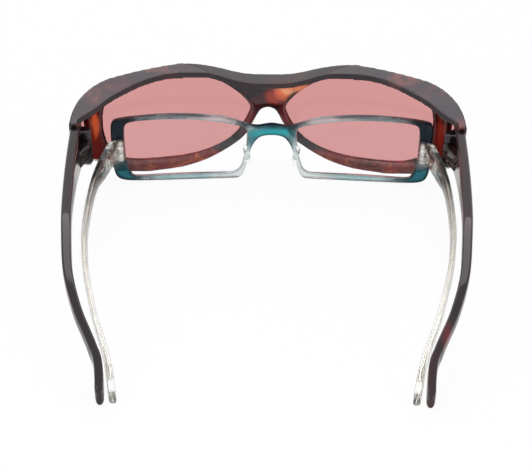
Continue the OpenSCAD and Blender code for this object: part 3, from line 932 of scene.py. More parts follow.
@dataclass(frozen=True)
class Tortoise:
    """Polished tortoise plastic: nearly black, with red and amber clouds."""

    dark: Colour = (0.012, 0.006, 0.006)
    red: Colour = (0.10, 0.012, 0.008)
    amber: Colour = (0.50, 0.10, 0.035)
    glow: tuple[Patch, ...] = ()
    stains: tuple[Patch, ...] = ()
    scale: float = 62.0
    stretch: Spot = (1, 1, 1)
    calm_above: float = 1.0
    warm_below: float = -1.0
    roughness: float = 0.06
    shine: float = 0.5
    # Strength of the emission that paints the glow of light through the plastic.
    lit: float = 0.28

    def make(self, name: str, palette: Palette) -> bpy.types.Material:
        """Builds the material: clouds that are calm high up and warm low down, stains, and painted
        glow where light shines through, laid into the colour and given off as emission.

        Args:
            name: its name.
            palette: the shared groups.

        Returns:
            The material.
        """
        f = Finish(name, palette)
        fade, mix, times = f.w.fade, f.w.mix, f.w.times
        cloud = f.noise(self.scale, 5.0, 0.9, self.stretch)
        spots = f.noise(self.scale * 2.1, 3.0, 1.4, self.stretch)
        up = f.w.add("ShaderNodeSeparateXYZ", {0: f.here}).outputs[2]
        dark, red, amber = ((*c, 1) for c in (self.dark, self.red, self.amber))
        calm = fade(up, self.calm_above, self.calm_above + 0.004, 1.0, 0.2)
        colour = mix(times(fade(cloud, 0.50, 0.68), calm), dark, red)
        share = times(fade(cloud, 0.60, 0.78), fade(spots, 0.5, 0.72))
        colour = mix(times(share, calm), colour, amber)
        warm = fade(up, self.warm_below, self.warm_below + 0.003, 1.0, 0.0)
        streak = mix(fade(spots, 0.48, 0.68), (*[2.2 * c for c in self.red], 1), amber)
        colour = mix(times(warm, fade(cloud, 0.30, 0.52, 0.25, 0.95)), colour, streak)
        colour = f.patches(colour, self.stains, fade(spots, 0.40, 0.60, 0.1, 1.0))
        # Painted glow: light through the plastic, laid into the colour here and given off as
        # emission below.
        colour = f.patches(colour, self.glow)
        f.set(Base_Color=colour, IOR=1.49, Specular_Tint=(0.95, 0.90, 1.0, 1.0),
              Specular_IOR_Level=self.shine, Coat_Weight=0.3 * self.shine, Coat_Roughness=0.03)
        if self.glow:
            f.set(Emission_Color=f.patches((0, 0, 0, 1), self.glow), Emission_Strength=self.lit)
        f.handled(self.roughness, smears=0.06, bump=0.04)
        return f.material


@dataclass(frozen=True)
class TintedLens:
    """A rose lens that is the same tint all over, a touch deeper in places."""

    tint: Colour = (0.675, 0.317, 0.312)
    deeper: float = 0.97
    coated: float = 0.25

    def make(self, name: str, palette: Palette) -> bpy.types.Material:
        """Builds the material.

        Args:
            name: its name.
            palette: the shared groups.

        Returns:
            The material.
        """
        f = Finish(name, palette)
        drift = f.w.fade(f.noise(18.0, 2.0), 0.3, 0.7)
        deep = tuple(self.deeper * c for c in self.tint)
        f.set(Base_Color=f.w.mix(drift, (*self.tint, 1), (*deep, 1)), Transmission_Weight=1.0,
              IOR=1.5, Specular_Tint=(self.coated, self.coated, self.coated, 1))
        f.handled(0.0, smears=0.015, bump=0.01)
        f.lets_light_by(self.tint)
        return f.material


@dataclass(frozen=True)
class Crystal:
    """Clear acetate with colour cast into it in patches."""

    clear: Colour = (0.93, 0.96, 0.96)
    # Colour multiplied in where the surface turns from the camera: painted shade at the edges.
    edge: Colour = (0.42, 0.50, 0.52)
    patches: tuple[Patch, ...] = ()
    roughness: float = 0.02
    body: float = 0.0
    # Strength of the painted dark line along the rim.
    line: float = 0.0
    uneven: float = 0.1
    ior: float = 1.49
    shine: float = 0.3
    coated: float = 1.0

    def make(self, name: str, palette: Palette) -> bpy.types.Material:
        """Builds the material: faint streaks, the patches, painted shade where the surface turns
        from the camera, and a painted dark line along the rim.

        Args:
            name: its name.
            palette: the shared groups.

        Returns:
            The material.
        """
        f = Finish(name, palette)
        streak = f.w.fade(f.noise(260.0, 3.0, 0.4, (1, 0.06, 1)), 0.42, 0.62)
        dim = tuple((1 - self.uneven) * c for c in self.clear)
        colour = f.w.mix(streak, (*self.clear, 1), (*dim, 1))
        colour = f.patches(colour, self.patches)
        # Painted shade: the colour darkens where the surface turns away from the camera, standing
        # in for the deeper look of clear plastic seen edge-on.
        facing = f.w.add("ShaderNodeLayerWeight", {"Blend": 0.35}).outputs["Facing"]
        turned = f.w.fade(facing, 0.55, 1.0, 0, 0.8)
        colour = f.w.mix(turned, colour, (*self.edge, 1), "MULTIPLY")
        # Painted shade: the colour is darkened in a wavering line near the rim, for the dark
        # outline that the rounded rim shows in the light.
        if self.line:
            gap = f.w.add("ShaderNodeAttribute", attribute_name="rim_gap").outputs["Fac"]
            waver = f.w.math("MULTIPLY_ADD", f.noise(260.0, 2.0, 0.0, (1, 1, 3)), 0.8, gap)
            near = f.w.fade(waver, 0.45, 1.25, self.line, 0.0)
            twice = f.w.mix(1.0, colour, colour, "MULTIPLY")
            rim_shaded = f.w.mix(1.0, twice, (0.55, 0.62, 0.65, 1), "MULTIPLY")
            colour = f.w.mix(near, colour, rim_shaded)
        f.set(Base_Color=colour, Transmission_Weight=1.0 - self.body, IOR=self.ior,
              Specular_IOR_Level=self.shine,
              Specular_Tint=(self.coated, self.coated, self.coated, 1))
        f.handled(self.roughness, smears=0.05, bump=0.008)
        f.lets_light_by(tuple(0.9 * c for c in self.clear))
        return f.material


@dataclass(frozen=True)
class Metal:
    """Plated metal, a little stained."""

    colour: Colour = (0.72, 0.70, 0.66)
    roughness: float = 0.22
    dull: float = 0.6

    def make(self, name: str, palette: Palette) -> bpy.types.Material:
        """Builds the material.

        Args:
            name: its name.
            palette: the shared groups.

        Returns:
            The material.
        """
        f = Finish(name, palette)
        stain = f.w.fade(f.noise(420.0, 4.0, 0.5), 0.45, 0.72)
        dull = tuple(self.dull * c for c in self.colour)
        f.set(Base_Color=f.w.mix(stain, (*self.colour, 1), (*dull, 1)), Metallic=1.0)
        f.handled(self.roughness, smears=0.15, bump=0.12)
        return f.material


# The two pairs of glasses


@dataclass(frozen=True)
class Standing:
    """How an upright front stands: its place along Y and across, and its lean in degrees."""

    y: float
    lean: float
    x: float = 0.0

    def put(self, x: float, y: float, z: float) -> Vector:
        """Puts a point of the upright front in the row frame.

        Args:
            x, y, z: the point, in millimetres.

        Returns:
            The point in the row frame, in millimetres.
        """
        a = math.radians(self.lean)
        return Vector((x + self.x, self.y + y * math.cos(a) + z * math.sin(a),
                       z * math.cos(a) - y * math.sin(a)))

    def take(self, p: Vector) -> Vector:
        """Takes a point of the row frame back to the upright front.

        Args:
            p: the point in the row frame, in millimetres.

        Returns:
            The point of the upright front.
        """
        a = math.radians(self.lean)
        y = p.y - self.y
        return Vector((p.x - self.x, y * math.cos(a) - p.z * math.sin(a),
                       p.z * math.cos(a) + y * math.sin(a)))


@dataclass(frozen=True)
class Descent:
    """How the top of a temple comes down: level, then round a bend, then straight to the tip."""

    full: float
    fall: float
    bend_from: float = 0.47
    bend_to: float = 0.74

    def at(self, d: float) -> float:
        """How far the top has dropped.

        Args:
            d: distance behind the hinge.

        Returns:
            The drop.
        """
        first, last = self.bend_from * self.full, self.bend_to * self.full
        slope = self.fall / (self.full - (first + last) / 2)
        if d < first:
            return 0.0
        if d < last:
            return slope * (d - first) ** 2 / (2 * (last - first))
        return slope * (d - (first + last) / 2)


@dataclass
class CoverGlasses:
    """The tinted cover: a wrapped front, four tinted lenses, two temples and their screws."""

    palette: Palette
    half: float = 76.0
    depth: float = 32.2
    bow: float = 180.0
    corner: float = 22.0
    side_lean: float = 5.0
    wall: float = 3.2
    tint_t: float = 1.8
    tint_edge: float = 0.25
    lens_nasal: float = 7.3
    lens_outer: float = 65.6
    lens_low: float = 4.4
    lens_high: float = 42.0
    window: tuple[float, float, float, float] = (-26.7, -20.82, 17.0, 32.0)
    groove: float = 0.6
    bevel_w: float = 1.6
    bevel_d: float = 0.65
    bevel_top: float = 30.0
    bevel_fade: float = 4.0
    bevel_slack: float = 0.3
    mesh_size: float = 0.35
    relax_steps: int = 7
    crumb: int = 1000
    stand: Standing = Standing(72.3004, 4.0)
    hinge: Spot = (70.3, 45.381, 15.6)
    hinge_h: float = 15.0
    hinge_gap: float = 3.2
    knuckle_r: float = 2.2
    knuckle_from: float = 0.27
    knuckle_share: float = 0.46
    knuckle_play: float = 0.05
    web_in: float = 0.1
    web_round: float = 0.45
    arm_out: float = 76.0
    arm_top: float = 33.0
    arm_t: float = 4.2
    arm_tip_t: float = 2.9
    arm_h: float = 19.0
    arm_least: float = 5.0
    arm_tip_h: float = 7.5
    arm_swell: float = 2.5
    swell_from: float = 0.82
    swell_over: float = 0.14
    narrow_by: float = 0.55
    toe: float = 20.9
    tip_y: float = -75.0
    bridge_y: float = 0.0713

    def __post_init__(self) -> None:
        """Works out the corner of the plan and makes the finishes."""
        a = math.radians(self.side_lean)
        self.side_n = Vector((math.cos(a), math.sin(a)))
        self.side_k = self.side_n.dot(Vector((self.half, -self.depth)))
        reach = (self.side_k - self.corner + self.side_n.y * self.bow) / (self.bow - self.corner)
        self.corner_a = a + math.acos(reach)
        self.corner_c = Vector((0, -self.bow)) + (self.bow - self.corner) * Vector(
            (math.cos(self.corner_a), math.sin(self.corner_a)))
        self.front_finish = Tortoise(glow=self._glow(), stains=self._stains(), calm_above=0.034,
                                     warm_below=0.0055).make("tortoise_front", self.palette)
        # Red spots on the temples: laid into the colour, and also given off as painted glow through
        # emission.
        spots = (Patch((0.0600, -0.0560, 0.0148), (0.0030, 0.0070, 0.0050),
                       (0.15, 0.010, 0.014), 0.9),
                 Patch((-0.0662, -0.0450, 0.0190), (0.0018, 0.0090, 0.0040),
                       (0.24, 0.018, 0.014), 0.9))
        self.arm_finish = Tortoise(glow=spots, scale=48.0, stretch=(1, 0.4, 1),
                                   calm_above=0.001).make("tortoise_temple", self.palette)
        self.hinge_finish = Tortoise(roughness=0.5, shine=0.12).make("tortoise_satin", self.palette)
        self.lens_finish = TintedLens().make("rose_lens", self.palette)
        self.screw_finish = Metal((0.66, 0.64, 0.60), 0.28).make("cover_screw_metal", self.palette)

    def _glow(self) -> tuple[Patch, ...]:
        """The painted glow of the front, where light shines through it: the end posts and the
        bridge.

        Returns:
            Their patches.
        """
        red, brown, black = (0.15, 0.012, 0.008), (0.13, 0.010, 0.009), (0.06, 0.010, 0.009)
        wall = self.bridge_y
        glow = []
        # Painted glow at each end post, the left one brighter, and a dim painted glow at each side
        # of the bridge.
        for s, post in ((1, (0.24, 0.022, 0.012)), (-1, (0.75, 0.12, 0.038))):
            glow += [Patch((0.0680 * s, 0.0546, 0.0200), (0.0050, 0.0070, 0.0170), red),
                     Patch((0.0676 * s, 0.0548, 0.0255), (0.0016, 0.0040, 0.0080), post, 0.9),
                     Patch((0.0082 * s, wall, 0.0225), (0.0045, 0.0060, 0.0080), brown)]
        # Painted glow at the bridge: amber patches, brightest near the top, with a darker patch to
        # the left where less light is painted.
        glow += [Patch((0.0025, wall, 0.0303), (0.0058, 0.0060, 0.0042), (0.34, 0.035, 0.018), 0.9),
                 Patch((0.0060, wall, 0.0328), (0.0040, 0.0060, 0.0050), (0.78, 0.15, 0.055)),
                 Patch((0.0078, wall, 0.0340), (0.0034, 0.0060, 0.0036), (1.0, 0.42, 0.21), 0.85),
                 Patch((0.0110, wall, 0.0352), (0.0060, 0.0060, 0.0024), (0.80, 0.22, 0.08)),
                 Patch((-0.0045, wall, 0.0270), (0.0048, 0.0060, 0.0050), black, 0.8)]
        return tuple(glow)

    def _stains(self) -> tuple[Patch, ...]:
        """The ruby and rust stains along the brow shelf.

        Returns:
            Their patches.
        """
        ruby, rust = (0.075, 0.014, 0.014), (0.17, 0.040, 0.026)
        return (Patch((-0.0420, 0.0690, 0.0440), (0.0130, 0.0032, 0.0040), rust, 0.8),
                Patch((-0.0590, 0.0628, 0.0415), (0.0060, 0.0060, 0.0040), ruby, 0.9),
                Patch((-0.0672, 0.0556, 0.0390), (0.0034, 0.0060, 0.0040), rust, 0.7),
                Patch((0.0530, 0.0650, 0.0425), (0.0100, 0.0050, 0.0040), rust, 0.8),
                Patch((0.0640, 0.0590, 0.0400), (0.0060, 0.0050, 0.0040), ruby, 0.9))

    def front_y(self, off: float, x: float) -> float:
        """How far forward the wall is.

        Args:
            off: offset inwards from its outer face.
            x: distance across.

        Returns:
            The place along Y, on the upright front.
        """
        x = abs(x)
        if x < (self.bow - off) * math.cos(self.corner_a):
            return math.sqrt((self.bow - off) ** 2 - x * x) - self.bow
        r = self.corner - off
        return self.corner_c.y + math.sqrt(max(r * r - (x - self.corner_c.x) ** 2, 0))

    def side_x(self, off: float, y: float) -> float:
        """How far out the wall is.

        Args:
            off: offset inwards from its outer face.
            y: place along Y, on the upright front.

        Returns:
            The distance across.
        """
        turn = self.corner_c.y + (self.corner - off) * self.side_n.y
        if y < turn:
            return (self.side_k - off - self.side_n.y * y) / self.side_n.x
        r = self.corner - off
        return self.corner_c.x + math.sqrt(max(r * r - (y - self.corner_c.y) ** 2, 0))

    def tint_outline(self, grow: float) -> Loop:
        """Outline of a front lens.

        Args:
            grow: distance by which it is grown.

        Returns:
            The outline, across and up.
        """
        shape = [(0, 0.56), (0.038, 0.66), (0.108, 0.77), (0.203, 0.87), (0.343, 0.95),
                 (0.5, 0.985), (0.68, 0.965), (0.83, 0.9), (0.945, 0.79), (0.995, 0.63),
                 (0.997, 0.39), (0.951, 0.158), (0.83, 0.035), (0.638, 0), (0.447, 0.008),
                 (0.29, 0.063), (0.16, 0.166), (0.078, 0.294), (0.023, 0.43)]
        return curve_through(spread(shape, self.lens_nasal - grow, self.lens_outer + grow,
                                    self.lens_low - grow, self.lens_high + grow), 6, closed=True)

    def window_outline(self, grow: float) -> Loop:
        """Outline of a side window.

        Args:
            grow: distance by which it is grown.

        Returns:
            The outline, along and up.
        """
        shape = [(0, 0.5), (0.1, 0.16), (0.35, 0), (0.7, 0.1), (0.95, 0.38), (1, 0.62),
                 (0.85, 0.9), (0.55, 1), (0.2, 0.85)]
        y0, y1, z0, z1 = self.window
        return curve_through(spread(shape, y0 - grow, y1 + grow, z0 - grow, z1 + grow), 6,
                             closed=True)

    def front(self, frame: dict) -> bpy.types.Object:
        """The wrapped front: the model's own solid, with the soft edges of a moulding.


        Returns:
            The object.
        """
        piece = bpy.data.objects.new("cover_front_moulding",
                                     frame["nodes"]["cover_front"].data.copy())
        bpy.context.scene.collection.objects.link(piece)
        outwards(piece, join=10 * JOIN)
        remesh = piece.modifiers.new("even", "REMESH")
        remesh.mode = "VOXEL"
        remesh.voxel_size = self.mesh_size * MM
        relax = piece.modifiers.new("relax", "SMOOTH")
        relax.factor = 0.5
        relax.iterations = self.relax_steps
        piece = settled(piece)
        drop_crumbs(piece, self.crumb)
        self._bevel_holes(piece)
        piece.data.materials.clear()
        piece.data.materials.append(self.front_finish)
        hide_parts("cover_front")
        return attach(piece, "cover")

    def _bevel_holes(self, piece: bpy.types.Object) -> None:
        """Bevels the wearer's side of the two lens holes, which keeps the lenses' lip thin.

        Args:
            piece: the moulding, a mesh of small even faces.
        """
        edge = near_tree(even(self.tint_outline(0), 0.25))
        middle = self.wall / 2
        for v in piece.data.vertices:
            x, y, z = self.stand.take(v.co / MM)
            if abs(x) > self.lens_outer + self.bevel_w:
                continue
            off = self.bow - math.hypot(x, y + self.bow)
            if abs(x) > (self.bow - off) * math.cos(self.corner_a):
                off = self.corner - math.hypot(abs(x) - self.corner_c.x, y - self.corner_c.y)
            far = edge.find((abs(x), z, 0))[2]
            if off < middle or off > self.wall + self.bevel_slack or far > self.bevel_w:
                continue
            low = 1 - ease((z - self.bevel_top) / self.bevel_fade)
            share = 1 - self.bevel_d / middle * (1 - far / self.bevel_w) * low
            v.co = self.stand.put(x, y + (off - middle) * (1 - share), z) * MM

    def lens(self, side: Side) -> bpy.types.Object:
        """One front lens, a curved sheet that sits in the groove of the front.

        Args:
            side: the side that it is on.

        Returns:
            The object.
        """
        def place(x: float, z: float, o: float) -> Vector:
            """A point of the lens, on its side."""
            return side.mirror(self.stand.put(x, self.front_y(self.wall / 2 - o, x), z))

        piece = Plate(even(self.tint_outline(self.groove), 1.0), place, self.tint_t,
                      self.tint_edge).build(f"tint_{side.word}")
        piece.data.materials.append(self.lens_finish)
        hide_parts(f"cover_lens_{side.word}")
        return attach(piece, "cover")

    def side_lens(self, side: Side) -> bpy.types.Object:
        """One side window.

        Args:
            side: the side that it is on.

        Returns:
            The object.
        """
        def place(y: float, z: float, o: float) -> Vector:
            """A point of the window, on its side."""
            return side.mirror(self.stand.put(self.side_x(self.wall / 2 - o, y), y, z))

        piece = Plate(even(self.window_outline(self.groove), 0.7), place, self.tint_t,
                      self.tint_edge, step=1.2).build(f"side_tint_{side.word}")
        piece.data.materials.append(self.lens_finish)
        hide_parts(f"side_lens_{side.word}")
        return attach(piece, "cover")

    def temple(self, side: Side) -> bpy.types.Object:
        """One temple, a wide bar at the hinge that narrows, turns in and drops to the table.

        Args:
            side: the side that it is on.

        Returns:
            The object.
        """
        full = self.hinge[1] - self.tip_y
        start = self.hinge[1] - self.hinge_gap
        plan = curve_through([(0, 0), (0.21, 0.06), (0.42, 0.155), (0.57, 0.255), (0.67, 0.335),
                              (0.73, 0.43), (0.795, 0.58), (0.86, 0.78), (0.92, 0.94), (1, 0.99)],
                             6, closed=False)
        top = Descent(full, self.arm_top - self.arm_tip_h + TIP_SINK)

        def tall(d: float) -> float:
            """The share of the full height at a distance behind the hinge.

            Args:
                d: the distance.

            Returns:
                The share of the way from the least height to the full one.
            """
            f = d / full
            swell = self.arm_swell * ease((f - self.swell_from) / self.swell_over)
            return max(1 - f / self.narrow_by, 0) ** 1.5 + swell / (self.arm_h - self.arm_least)

        at = stations(self.hinge_gap, full)
        piece = Bar(f"cover_arm_{side.word}", self.arm_finish,
                    {"Start": start, "Length": start - self.tip_y, "Out": self.arm_out,
                     "Toe": self.toe, "Thickness": self.arm_t, "Tip Thickness": self.arm_tip_t,
                     "Top": self.arm_top, "Drop": top.at(full), "Height": self.arm_h,
                     "Least Height": self.arm_least, "Front Round": 0.5, "Tip Round": 2.2},
                    plan=[(u, look_up(d / full, plan)) for u, d in at],
                    drop=[(u, top.at(d) / top.at(full)) for u, d in at],
                    thick=[(u, max(1 - d / full, 0) ** 0.8) for u, d in at],
                    tall=[(u, tall(d)) for u, d in at], rings=190, points=40).build()
        outwards(piece, flip=side is Side.LEFT)
        self._add_knuckle(piece, side)
        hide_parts(f"cover_temple_{side.word}")
        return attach(piece, f"cover_arm_{side.word}")

    def _add_knuckle(self, piece: bpy.types.Object, side: Side) -> None:
        """Adds the hinge knuckle and its web to a temple's mesh.

        Args:
            piece: the temple.
            side: the side that it is on.
        """
        x, y, z = self.hinge
        low = z + self.knuckle_from * self.hinge_h + self.knuckle_play
        height = self.hinge_h * self.knuckle_share - 2 * self.knuckle_play
        tree = turned_tree(f"cover_knuckle_{side.word}",
                           [(0, 0.9), (0.05, 1.0), (0.95, 1.0), (1, 0.9)])
        knuckle = run_tree(f"knuckle_{side.word}", tree,
                           {"Radius": self.knuckle_r * MM, "Height": height * MM, "Count": 1,
                            "Finish": self.hinge_finish})
        bm = bmesh.new()
        bm.from_mesh(knuckle.data)
        bmesh.ops.translate(bm, vec=Vector((x, y, low + height / 2)) * MM, verts=bm.verts)
        web = [(-1.4, 0), (1.7, 0), (1.7, -3.2), (2.6, -3.2), (2.6, -11), (0.9, -11), (-1.4, -5)]
        rows = [[bm.verts.new(Vector((x + a, y + b, low + h)) * MM) for a, b in web]
                for h in (self.web_in, height - self.web_in)]
        bm.faces.new(rows[0][::-1])
        bm.faces.new(rows[1])
        for i in range(len(web)):
            j = (i + 1) % len(web)
            bm.faces.new([rows[0][i], rows[0][j], rows[1][j], rows[1][i]])
        web_edges = list(dict.fromkeys(edge for row in rows for v in row for edge in v.link_edges))
        bmesh.ops.bevel(bm, geom=web_edges, offset=self.web_round * MM, segments=3, profile=0.5,
                        affect="EDGES")
        if side is Side.LEFT:
            bmesh.ops.scale(bm, vec=(-1, 1, 1), verts=bm.verts)
        bmesh.ops.recalc_face_normals(bm, faces=bm.faces)
        piece.data.materials.append(self.hinge_finish)
        for face in bm.faces:
            face.material_index = 1
        bm.from_mesh(piece.data)
        bm.to_mesh(piece.data)
        bm.free()
        mesh = knuckle.data
        bpy.data.objects.remove(knuckle)
        bpy.data.meshes.remove(mesh)
        even_normals(piece)


@dataclass
class ReadingGlasses:
    """The clear pair: a bowed front, two lenses, pads, hinges, temples and core wires."""

    palette: Palette
    lens_w: float = 48.8
    lens_h: float = 24.6
    nasal: float = 9.7
    lens_t: float = 1.6
    rim_top: float = 1.8
    rim_bottom: float = 2.2
    half: float = 63.4
    front_t: float = 3.2
    front_edge: float = 0.75
    rim_step: float = 0.8
    bow: float = 300.0
    power_r: float = 300.0
    lens_play: float = 0.06
    lens_thinner: float = 0.3
    lens_edge: float = 0.2
    stand: Standing = Standing(57.4643, 8.0, 1.6)
    axis: tuple[float, float] = (59.8687, 52.6785)
    turn: float = 0.8
    arm_gap: float = 0.6
    arm_out: float = 0.8
    arm_top: float = 20.8
    arm_t: float = 2.9
    arm_thin: float = 2.2
    arm_h: float = 9.6
    arm_least: float = 5.6
    arm_tip_h: float = 6.5
    splay: float = 12.0
    splay_l: float = 12.0
    swell_t: float = 0.5
    swell_h: float = 0.9
    most_drop: float = 16.0
    wire_w: float = 0.9
    arrow_w: float = 1.8
    arrow_l: float = 3.4
    wire_from: float = 11.7
    wire_share: float = 0.93
    toe: float = 13.2
    tip_y: float = -73.0
    pad_at: Spot = (0.15, -0.65, 11.0)
    pad_half: Spot = (1.15, 2.6, 4.6)
    pad_tilt: float = 14.0

    def __post_init__(self) -> None:
        """Makes the finishes."""
        palette = self.palette
        self.front_finish = Crystal(patches=self._teal(), edge=(0.42, 0.52, 0.55), body=0.30,
                                    line=0.7, shine=0.2, coated=0.5).make("crystal_front", palette)
        smoke = tuple(Patch((0.0650 * s, 0.030, 0.0160), (0.0120, 0.0380, 0.0120),
                            (0.34, 0.33, 0.30), 0.85) for s in (1, -1))
        self.arm_finish = Crystal(clear=(0.97, 0.97, 0.95), edge=(0.22, 0.26, 0.26), patches=smoke,
                                  body=0.03, uneven=0.12,
                                  roughness=0.05).make("crystal_temple", palette)
        self.lens_finish = Crystal(clear=(0.99, 0.995, 0.995), edge=(0.8, 0.9, 0.9), roughness=0.0,
                                   uneven=0.01, coated=0.35).make("clear_lens", palette)
        self.pad_finish = Crystal(clear=(0.98, 0.99, 0.99), edge=(0.8, 0.86, 0.86), roughness=0.08,
                                  ior=1.12).make("clear_pad", palette)
        self.hinge_finish = Metal().make("hinge_metal", palette)
        self.screw_finish = Metal((0.58, 0.56, 0.52), 0.3).make("screw_metal", palette)
        self.wire_finish = Metal((0.80, 0.77, 0.71), 0.3, dull=0.9).make("wire_metal", palette)

    @property
    def top(self) -> float:
        """How high the upright front is."""
        return self.rim_bottom + self.lens_h + self.rim_top

    def _teal(self) -> tuple[Patch, ...]:
        """The navy, teal and turquoise cast into the front.

        Returns:
            The patches.
        """
        navy, teal, turquoise = (0.002, 0.02, 0.04), (0.02, 0.16, 0.20), (0.03, 0.46, 0.49)

        def at(x: float, z: float) -> Spot:
            """A place inside the front, in metres."""
            y = math.sqrt(self.bow ** 2 - x * x) - self.bow + self.front_t / 2
            return tuple(self.stand.put(x, y, z) * MM)

        spots = []
        for s in (1, -1):
            spots += [Patch(at(34 * s, self.top - 0.2), (0.030, 0.012, 0.0014), teal, 0.8),
                      Patch(at(59 * s, self.top - 5.5), (0.015, 0.016, 0.0125), navy),
                      Patch(at(60 * s, 4), (0.015, 0.014, 0.0085), teal),
                      Patch(at(38 * s, -0.3), (0.022, 0.012, 0.0018), turquoise, 0.8),
                      Patch(at(7.5 * s, 17), (0.0035, 0.010, 0.006), teal, 0.8)]
        spots += [Patch(at(0, self.top - 7.5), (0.015, 0.012, 0.0085), teal, 0.95),
                  Patch(at(0, 20.0), (0.012, 0.010, 0.0026), turquoise),
                  Patch(at(0, self.top - 4.6), (0.018, 0.010, 0.0022), navy)]
        return tuple(spots)

    def outline(self) -> Loop:
        """The outline of the front.

        Returns:
            The outline, across and up.
        """
        n, w, h, top = self.nasal, self.lens_w, self.half, self.top
        right = [(0, top - 4.9), (n - 3.5, top - 5.7), (n + 1.6, top - 4.4),
                 (n + 0.17 * w, top - 2.1), (n + 0.3 * w, top - 1.2), (n + 0.5 * w, top - 0.3),
                 (n + 0.68 * w, top), (n + 0.88 * w, top - 0.2), (h - 4.4, top - 0.6),
                 (h - 1.4, top - 1.1), (h - 0.4, top - 2), (h, top - 4.6), (h, 16),
                 (h - 0.2, 10.5), (h - 0.7, 6), (h - 1.8, 3.2), (h - 4, 1.7), (h - 8.4, 0.9),
                 (n + 0.72 * w, 0.3), (n + 0.45 * w, 0.05), (n + 0.15 * w, 0.05), (n + 3.6, 0.4),
                 (n + 2.1, 1.7), (n + 0.8, 4.9), (n - 0.3, 9.2), (n - 1.4, 12.9), (n - 2.4, 15.1),
                 (n - 3.5, 16.8), (n - 5, 18.2), (n - 7.1, 18.9), (0, 19.1)]
        return curve_through(right + [(-x, z) for x, z in right[-2:0:-1]], 6, closed=True)

    def lens_outline(self, grow: float) -> Loop:
        """The outline of a lens.

        Args:
            grow: distance by which it is grown.

        Returns:
            The outline, across and up.
        """
        shape = [(0, 0.73), (0.012, 0.795), (0.05, 0.84), (0.1, 0.866), (0.27, 0.932), (0.47, 0.98),
                 (0.65, 0.998), (0.84, 1), (0.95, 0.98), (0.99, 0.925), (1, 0.76), (0.998, 0.4),
                 (0.985, 0.21), (0.965, 0.1), (0.92, 0.02), (0.72, 0.002), (0.41, 0),
                 (0.165, 0.006), (0.095, 0.028), (0.06, 0.098), (0.034, 0.25), (0.01, 0.46)]
        return curve_through(spread(shape, self.nasal - grow, self.nasal + self.lens_w + grow,
                                    self.rim_bottom - grow, self.rim_bottom + self.lens_h + grow),
                             5, closed=True)

    def _place(self, x: float, z: float, o: float) -> Vector:
        """A point of the bowed front, never under the table.

        Args:
            x, z: how far across and up it is.
            o: how far out of the middle of the front.

        Returns:
            The point, in millimetres.
        """
        r = self.bow + self.front_t / 2 + o
        p = self.stand.put(x, math.sqrt(r * r - x * x) - self.bow, z)
        return Vector((p.x, p.y, max(p.z, 0.0)))

    def front(self) -> bpy.types.Object:
        """The front, one sheet with two holes.

        Returns:
            The object.
        """
        lens = even(self.lens_outline(0), self.rim_step)
        piece = Plate(even(self.outline(), self.rim_step), self._place, self.front_t,
                      self.front_edge, holes=[lens, [(-x, z) for x, z in lens]],
                      step=1.3).build("crystal_front")
        piece.data.materials.append(self.front_finish)
        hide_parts("reader_front")
        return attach(piece, "reader")

    def lens(self, side: Side) -> bpy.types.Object:
        """One clear lens.

        Args:
            side: the side that it is on.

        Returns:
            The object.
        """
        outline = [(side.value * x, z) for x, z in even(self.lens_outline(-self.lens_play), 0.9)]
        centre = (side.value * (self.nasal + self.lens_w / 2), self.rim_bottom + self.lens_h / 2)
        rim = math.hypot(self.lens_w, self.lens_h) / 2

        def place(x: float, z: float, o: float) -> Vector:
            """A point of the lens, whose front is the rounder one, so that it magnifies."""
            rise = (rim ** 2 - math.dist((x, z), centre) ** 2) / (2 * self.power_r)
            return self._place(x, z, o + rise * (0.5 + o / self.lens_t))

        piece = Plate(outline, place, self.lens_t - self.lens_thinner,
                      self.lens_edge).build(f"clear_lens_{side.word}")
        piece.data.materials.append(self.lens_finish)
        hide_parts(f"reader_lens_{side.word}")
        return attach(piece, "reader")

    @property
    def full(self) -> float:
        """How long a temple is, from its hinge to its tip."""
        return self.axis[1] - self.tip_y

    def _thick(self, d: float) -> float:
        """The thickness of a temple at a distance behind the hinge."""
        return (self.arm_t - (self.arm_t - self.arm_thin) * ease((d - self.splay_l) / 24)
                + self.swell_t * ease((d / self.full - 0.82) / 0.16))

    def _tall(self, d: float) -> float:
        """The height of a temple at a distance behind the hinge."""
        return (self.arm_h - (self.arm_h - self.arm_least) * ease((d - 7) / 22)
                + self.swell_h * ease((d / self.full - 0.8) / 0.2))

    def _course(self, at: Loop, width: float | None = None) -> tuple[Loop, Loop]:
        """Where a temple runs, or the wire in the middle of it.

        Args:
            at: shares of its length, with their distances behind the hinge.
            width: width of the wire, or None for the temple itself.

        Returns:
            The curves of its toe-in and of its drop.
        """
        full = self.full
        plan = [(0, 0)] + curve_through([
            (self.splay_l / full, -self.splay_l * math.tan(math.radians(self.splay)) / self.toe),
            (0.2, -0.28), (0.3, -0.3), (0.42, -0.27), (0.51, -0.19), (0.6, -0.06), (0.65, 0.05),
            (0.71, 0.2), (0.77, 0.37), (0.83, 0.58), (0.9, 0.8), (1, 1)], 5, closed=False)
        top = Descent(full, self.arm_top - self.arm_tip_h + TIP_SINK)
        toe, drop = [], []
        for u, d in at:
            inwards = (self._thick(d) - width) / 2 if width else 0
            down = (self._tall(d) - width) / 2 if width else 0
            toe.append((u, (look_up(d / full, plan) * self.toe + inwards) / self.toe))
            drop.append((u, (top.at(d) + down) / self.most_drop))
        return toe, drop

    def _sizes(self, at: Loop) -> dict[str, float]:
        """The sizes that a temple and its wire share.

        Args:
            at: shares of its length, with their distances behind the hinge.

        Returns:
            The sizes, by the names in the tree.
        """
        return {"Start": self.axis[1] - at[0][1], "Length": at[-1][1] - at[0][1],
                "Out": self.half + self.arm_out, "Toe": self.toe, "Top": self.arm_top,
                "Drop": self.most_drop}

